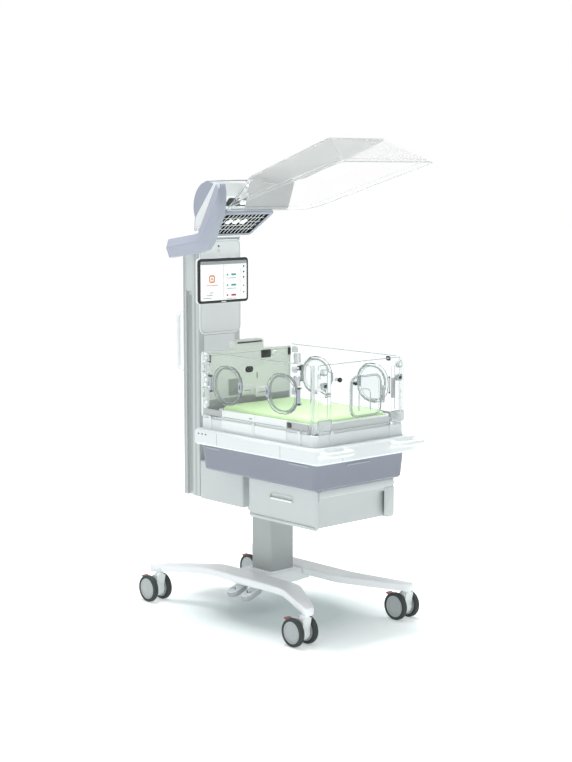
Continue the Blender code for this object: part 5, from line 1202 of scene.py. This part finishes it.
def makeConsole():
    eased("head_console", "consoleGreen")
    y = console["faceY"]
    body = "chassis"

    def fitting(name, look, x, z, wide, high, rise=0.003, corner=0.003):
        plate(name, look, body, spot(x, y, z), across, (wide, high), rise, corner, min(0.0012, rise * 0.4))

    rim("consoleBorder", "bandGrey", body, spot(0.0, y, 1.07), across, (0.494, 0.22), 0.002, 0.0006, 0.01)
    fitting("consoleBand", "bandGrey", 0.0, 0.942, 0.496, 0.072, 0.0012)
    fitting("consolePatch", "bandGrey", -0.088, 1.025, 0.08, 0.075, 0.0014)
    fitting("consoleFace", "panelGrey", 0.0, 1.14, 0.176, 0.06, 0.0014, 0.01)
    fitting("consoleSlotShade", "inkDark", 0.0, 1.2245, 0.148, 0.0062, 0.0004, 0.002)
    fitting("consoleBezel", "shellWhite", -0.0065, 1.099, 0.062, 0.042, 0.0036, 0.02)
    fitting("consoleOval", "knobBlack", -0.0065, 1.099, 0.048, 0.029, 0.0052, 0.014)
    fitting("consoleWindow", "knobBlack", 0.0975, 1.1635, 0.06, 0.036, 0.003, 0.005)
    turned("consolePort", "shellWhite", body, spot(0.152, y, 1.16), -along, [(-0.001, 0.0165),
        (0.006, 0.0165), (0.0085, 0.014), (0.0085, 0.0095), (0.005, 0.0085), (0.005, 0.0)], 44)
    fitting("consoleBoxA", "shellWhite", -0.0215, 1.0035, 0.066, 0.04, 0.01, 0.005)
    fitting("consoleBoxB", "shellWhite", 0.0675, 0.988, 0.074, 0.042, 0.01, 0.005)
    fitting("consoleBoxMarkA", "seamGrey", -0.0215, 1.0035, 0.04, 0.004, 0.0104, 0.002)
    fitting("consoleBoxMarkB", "seamGrey", 0.0675, 0.988, 0.046, 0.004, 0.0104, 0.002)
    fitting("consoleSlit", "inkDark", 0.0445, 1.067, 0.004, 0.028, 0.0008, 0.002)
    clipX = console["clipX"]
    for name, x, z in (("Left", -clipX, console["clipTop"]), ("LeftLow", -clipX, console["clipLow"]),
            ("Right", clipX, console["clipTop"])):
        fitting("consoleClip" + name, "darkMetal", x, z, 0.014, 0.034, 0.006, 0.003)


# Hood
hood = {"frontY": 0.168, "frontZ": 1.818, "rearY": 0.347, "rearZ": 1.705, "half": 0.15, "border": 0.02,
    "bars": 10, "crosses": 4, "capY": 0.225, "capZ": 1.845, "capRadius": 0.1205}


def heaterPoint(x, reach, rise):
    middle = spot(0.0, (hood["frontY"] + hood["rearY"]) / 2.0, (hood["frontZ"] + hood["rearZ"]) / 2.0)
    forward, normal = heaterAxes()
    return middle + Vector((x, 0.0, 0.0)) + reach * forward + rise * normal


def heaterAxes():
    forward = Vector((0.0, hood["frontY"] - hood["rearY"], hood["frontZ"] - hood["rearZ"])).normalized()
    return forward, Vector((0.0, forward.z, -forward.y))


def makeHood():
    for node, look in (
        ("hood_carriage", "drawerGrey"), ("head_housing", "shellWhite"), ("head_rear_cap", "armLavender"),
        ("heater_frame", "armLavender"), ("work_lamp", "lampAndHighlightWhite"), ("heater_reflector", "grilleBlack"),
        ("canopy_yoke", "plateGrey"),
    ):
        eased(node, look)
    makeArm()
    forward, normal = heaterAxes()
    length = math.hypot(hood["frontY"] - hood["rearY"], hood["frontZ"] - hood["rearZ"])
    openX = hood["half"] - hood["border"] - 0.0003
    openA = length / 2.0 - hood["border"] - 0.0003
    edge = 0.0055
    gap = 0.004
    # The grille looks down, against its own normal.
    border = rim("grilleBorder", "grilleBlack", "hood", heaterPoint(0.0, 0.0, 0.006), across,
        (2.0 * openX, 2.0 * openA), edge, 0.004, 0.002, 0.0006, 0.0, up=forward)
    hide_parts("heater_grille")
    pitch = (2.0 * openX - 2.0 * edge) / (hood["bars"] + 1)
    first = heaterPoint(-openX + edge + pitch, 0.0, 0.0028)
    wire = tube("grilleWireOne", "barGrey", "hood",
        [first - forward * (openA - gap), first + forward * (openA - gap)], 0.0017, sides=8)
    repeated(wire, "grilleWires", hood["bars"], (pitch, 0.0, 0.0), "barGrey", "hood")
    reach = (2.0 * openA - 2.0 * gap) / (hood["crosses"] + 1)
    start = heaterPoint(0.0, -openA + gap + reach, 0.0046)
    cross = tube("grilleCrossOne", "barGrey", "hood",
        [start - across * (openX - gap), start + across * (openX - gap)], 0.0015, sides=8)
    repeated(cross, "grilleCrosses", hood["crosses"], forward * reach, "barGrey", "hood")
    # Three glowing white discs behind the grille: painted highlights where the reflector troughs catch the
    # light.
    highlightDisc = turned("heaterHighlightOne", "lampAndHighlightWhite", "hood", heaterPoint(-0.064, 0.015, 0.0066), -normal,
        [(-0.0002, 0.02), (0.001, 0.02), (0.0018, 0.017), (0.0012, 0.012), (0.0014, 0.0)], 40)
    repeated(highlightDisc, "heaterHighlights", 3, (0.044, 0.0, 0.0), "lampAndHighlightWhite", "hood")
    makeHeadFace()
    for label, inset in (("Outer", 0.003), ("Inner", 0.012)):
        size = (2.0 * (hood["half"] - inset) - 0.004, length - 2.0 * inset - 0.004)
        rim("heaterLine" + label, "seamGrey", "hood", heaterPoint(0.0, 0.0, 0.0), across, size, 0.0014,
            0.0004, 0.016 - inset * 0.6, 0.0001, 0.0004, up=forward)
    vent = plate("headVentOne", "seamGrey", "hood", spot(-0.11, 0.15, 1.9652), across, (0.004, 0.03),
        0.0003, 0.002, 0.0001, 0.0002, up=along)
    repeated(vent, "headVents", 9, (0.012, 0.0, 0.0), "seamGrey", "hood")
    for index, x in enumerate((-0.12, 0.08)):
        plate("headScrew" + str(index), "brightMetal", "hood", spot(x, 0.2, 1.962), across, (0.007, 0.007),
            0.0008, 0.0035, up=along)


# The painted shade of the lamp recess, a black plate which looks down and towards the foot, and the crescent
# at the cap's outer end.
def makeHeadFace():
    slope = Vector((0.0, 0.046, -0.05)).normalized()
    plate("lampRecessShade", "knobBlack", "hood", spot(-0.02, 0.145, 1.867), -across, (0.29, 0.05), 0.0002,
        0.006, 0.0001, up=slope)
    outline = []
    for step in range(33):
        angle = math.radians(-24.0 + 124.0 * step / 32.0)
        radius = hood["capRadius"] - 0.016 * max(0.0, (step - 20.0) / 12.0) ** 1.5
        outline.append((hood["capY"] + radius * math.cos(angle), hood["capZ"] + radius * math.sin(angle)))
    loops = [[spot(x, y, z) for y, z in outline] for x in (-0.1896, -0.1912, -0.1922)]
    crescent = loft("capCrescent", loops, finish("armLavender"), crease=50.0)
    ridden(crescent, "hood")


arm = {"inner": -0.19, "outer": -0.23, "ridge": -0.25, "bevel": 0.0026, "crease": 24.0}


def makeArm():
    # The top, ridge and under points of each section, as (y, z).
    stations = (
        ((0.487, 1.694), (0.478, 1.654), (0.481, 1.607)),
        ((0.3, 1.721), (0.285, 1.684), (0.275, 1.638)),
        ((0.27, 1.728), (0.24, 1.692), (0.225, 1.653)),
        ((0.255, 1.755), (0.218, 1.712), (0.196, 1.68)),
        ((0.158, 1.922), (0.118, 1.87), (0.128, 1.806)),
        ((0.142, 1.948), (0.098, 1.925), (0.117, 1.862)),
        ((0.122, 1.948), (0.088, 1.934), (0.115, 1.912)),
    )
    loops = []
    for top, ridge, under in stations:
        loops.append([spot(arm["inner"], *top), spot(arm["outer"], *top), spot(arm["ridge"], *ridge),
            spot(arm["outer"], *under), spot(arm["inner"], *under)])
    piece = loft("hoodArmForm", loops, finish("armLavender"), crease=arm["crease"])
    addBevel(piece, arm["bevel"], 3, arm["crease"])
    settleMesh(piece)
    ridden(piece, "hood")
    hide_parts("hood_arm")


# Canopy
canopy = {"tilt": 15.5, "rearY": 0.062, "rearZ": 1.83, "length": 0.795, "half": 0.275, "corner": 0.08,
    "topRear": 0.083, "topFront": 0.64, "topHalf": 0.171, "highRear": 0.12, "highFront": 0.145,
    "topCorner": 0.045, "frontCorner": 0.022, "topFrontCorner": 0.014, "plateHalf": 0.131}


def canopyPoint(x, reach, height):
    tilt = math.radians(canopy["tilt"])
    y = canopy["rearY"] - reach * math.cos(tilt) + height * math.sin(tilt)
    z = canopy["rearZ"] + reach * math.sin(tilt) + height * math.cos(tilt)
    return spot(x, y, z)


# A closed line round the canopy: share 0 at the rim, 1 round the top panel.
def canopyRing(share, inset):
    steps = 8
    half = canopy["half"] + share * (canopy["topHalf"] - canopy["half"]) - inset
    rear = share * canopy["topRear"] + inset
    front = canopy["length"] + share * (canopy["topFront"] - canopy["length"]) - inset
    corner = canopy["corner"] + share * (canopy["topCorner"] - canopy["corner"]) - inset
    far = canopy["frontCorner"] + share * (canopy["topFrontCorner"] - canopy["frontCorner"]) - inset
    points = []
    for (u, v), (otherU, otherV) in zip(roundLoop(2.0 * half, front - rear, corner, steps),
            roundLoop(2.0 * half, front - rear, far, steps)):
        if v > 0.0:
            u, v = otherU, otherV
        reach = (rear + front) / 2.0 + v
        slope = (reach - rear) / (front - rear)
        high = canopy["highRear"] + slope * (canopy["highFront"] - canopy["highRear"])
        points.append(canopyPoint(u, reach, share * high))
    return points


def makeCanopy():
    part = nodes["canopy_shell"]
    part.data.materials.clear()
    for look in ("hoodClear", "clearEdge", "canopyTop", "canopyFront"):
        part.data.materials.append(clear(look))
    low = math.radians(canopy["tilt"])
    normal = Vector((0.0, math.sin(low), math.cos(low)))
    topLow = canopyPoint(0.0, canopy["topRear"], canopy["highRear"] - 0.012).dot(normal)
    frontLine = canopyPoint(0.0, canopy["topFront"] - 0.01, canopy["highFront"]).y
    for face in part.data.polygons:
        facing = abs(face.normal.dot(normal)) > 0.96
        face.material_index = 0
        if facing:
            face.material_index = 2 if face.center.dot(normal) > topLow else 1
        elif abs(face.normal.x) < 0.2 and face.center.y < frontLine:
            face.material_index = 3
    tube("canopyTopLine", "edgeLight", "canopy", canopyRing(1.0, 0.0), 0.001, closed=True, sides=10)
    tube("canopyRimLine", "edgeLight", "canopy", canopyRing(0.0, 0.0015), 0.0019, closed=True, sides=10)
    tube("canopyStepLine", "clearEdge", "canopy", canopyRing(0.12, 0.0), 0.0012, closed=True, sides=10)
    rear = canopy["topRear"]
    slope = math.atan2(canopy["highFront"] - canopy["highRear"], canopy["topFront"] - rear)
    forward = (canopyPoint(0.0, 1.0, math.tan(slope)) - canopyPoint(0.0, 0.0, 0.0)).normalized()
    bandPlace = canopyPoint(0.0, rear + 0.02, canopy["highRear"] + 0.02 * math.tan(slope))
    plate("canopyBand", "shellWhite", "canopy", bandPlace, across, (2.0 * canopy["topHalf"] - 0.03, 0.026),
        0.0016, 0.006, up=forward)
    lowEdge = math.hypot(rear, canopy["highRear"])
    start = canopyPoint(0.0, 0.0, 0.0)
    end = canopyPoint(0.0, rear, canopy["highRear"])
    slant = (end - start).normalized()
    plateOut = slant.cross(across)
    side = slant.cross(plateOut)
    middle = start + slant * (lowEdge / 2.0 + 0.004) + plateOut * 0.0047
    rim("rearPlateLine", "bandGrey", "canopy", middle, side,
        (2.0 * canopy["plateHalf"] - 0.016, lowEdge - 0.03), 0.0018, 0.0005, 0.01, 0.0001, 0.0004, up=slant)
    knobPlace = start + slant * 0.03 + across * 0.085 + plateOut * 0.0047
    turned("plateKnob", "seamGrey", "canopy", knobPlace, plateOut,
        [(-0.0005, 0.006), (0.003, 0.006), (0.0042, 0.0048), (0.0042, 0.0)], 28)


makeCamera()
makeStage()
print("camera and stage ready")
for cornerName in ("front_left", "front_right", "rear_left", "rear_right"):
    makeCaster(cornerName)
for sideOf, sideName in sides:
    makeLeg(sideName, sideOf)
makePedal("pedal_raise", 0.098, 1.0)
makePedal("pedal_lower", 0.002, -1.0)
print("base ready")
makeTower()
makeMonitor()
print("tower ready")
makeCot()
for sideOf, sideName in sides:
    makeSideWall(sideName, sideOf)
makeFootWall()
makeConsole()
print("cot ready")
makeMattress()
print("mattress ready")
makeHood()
makeCanopy()
print("hood ready")
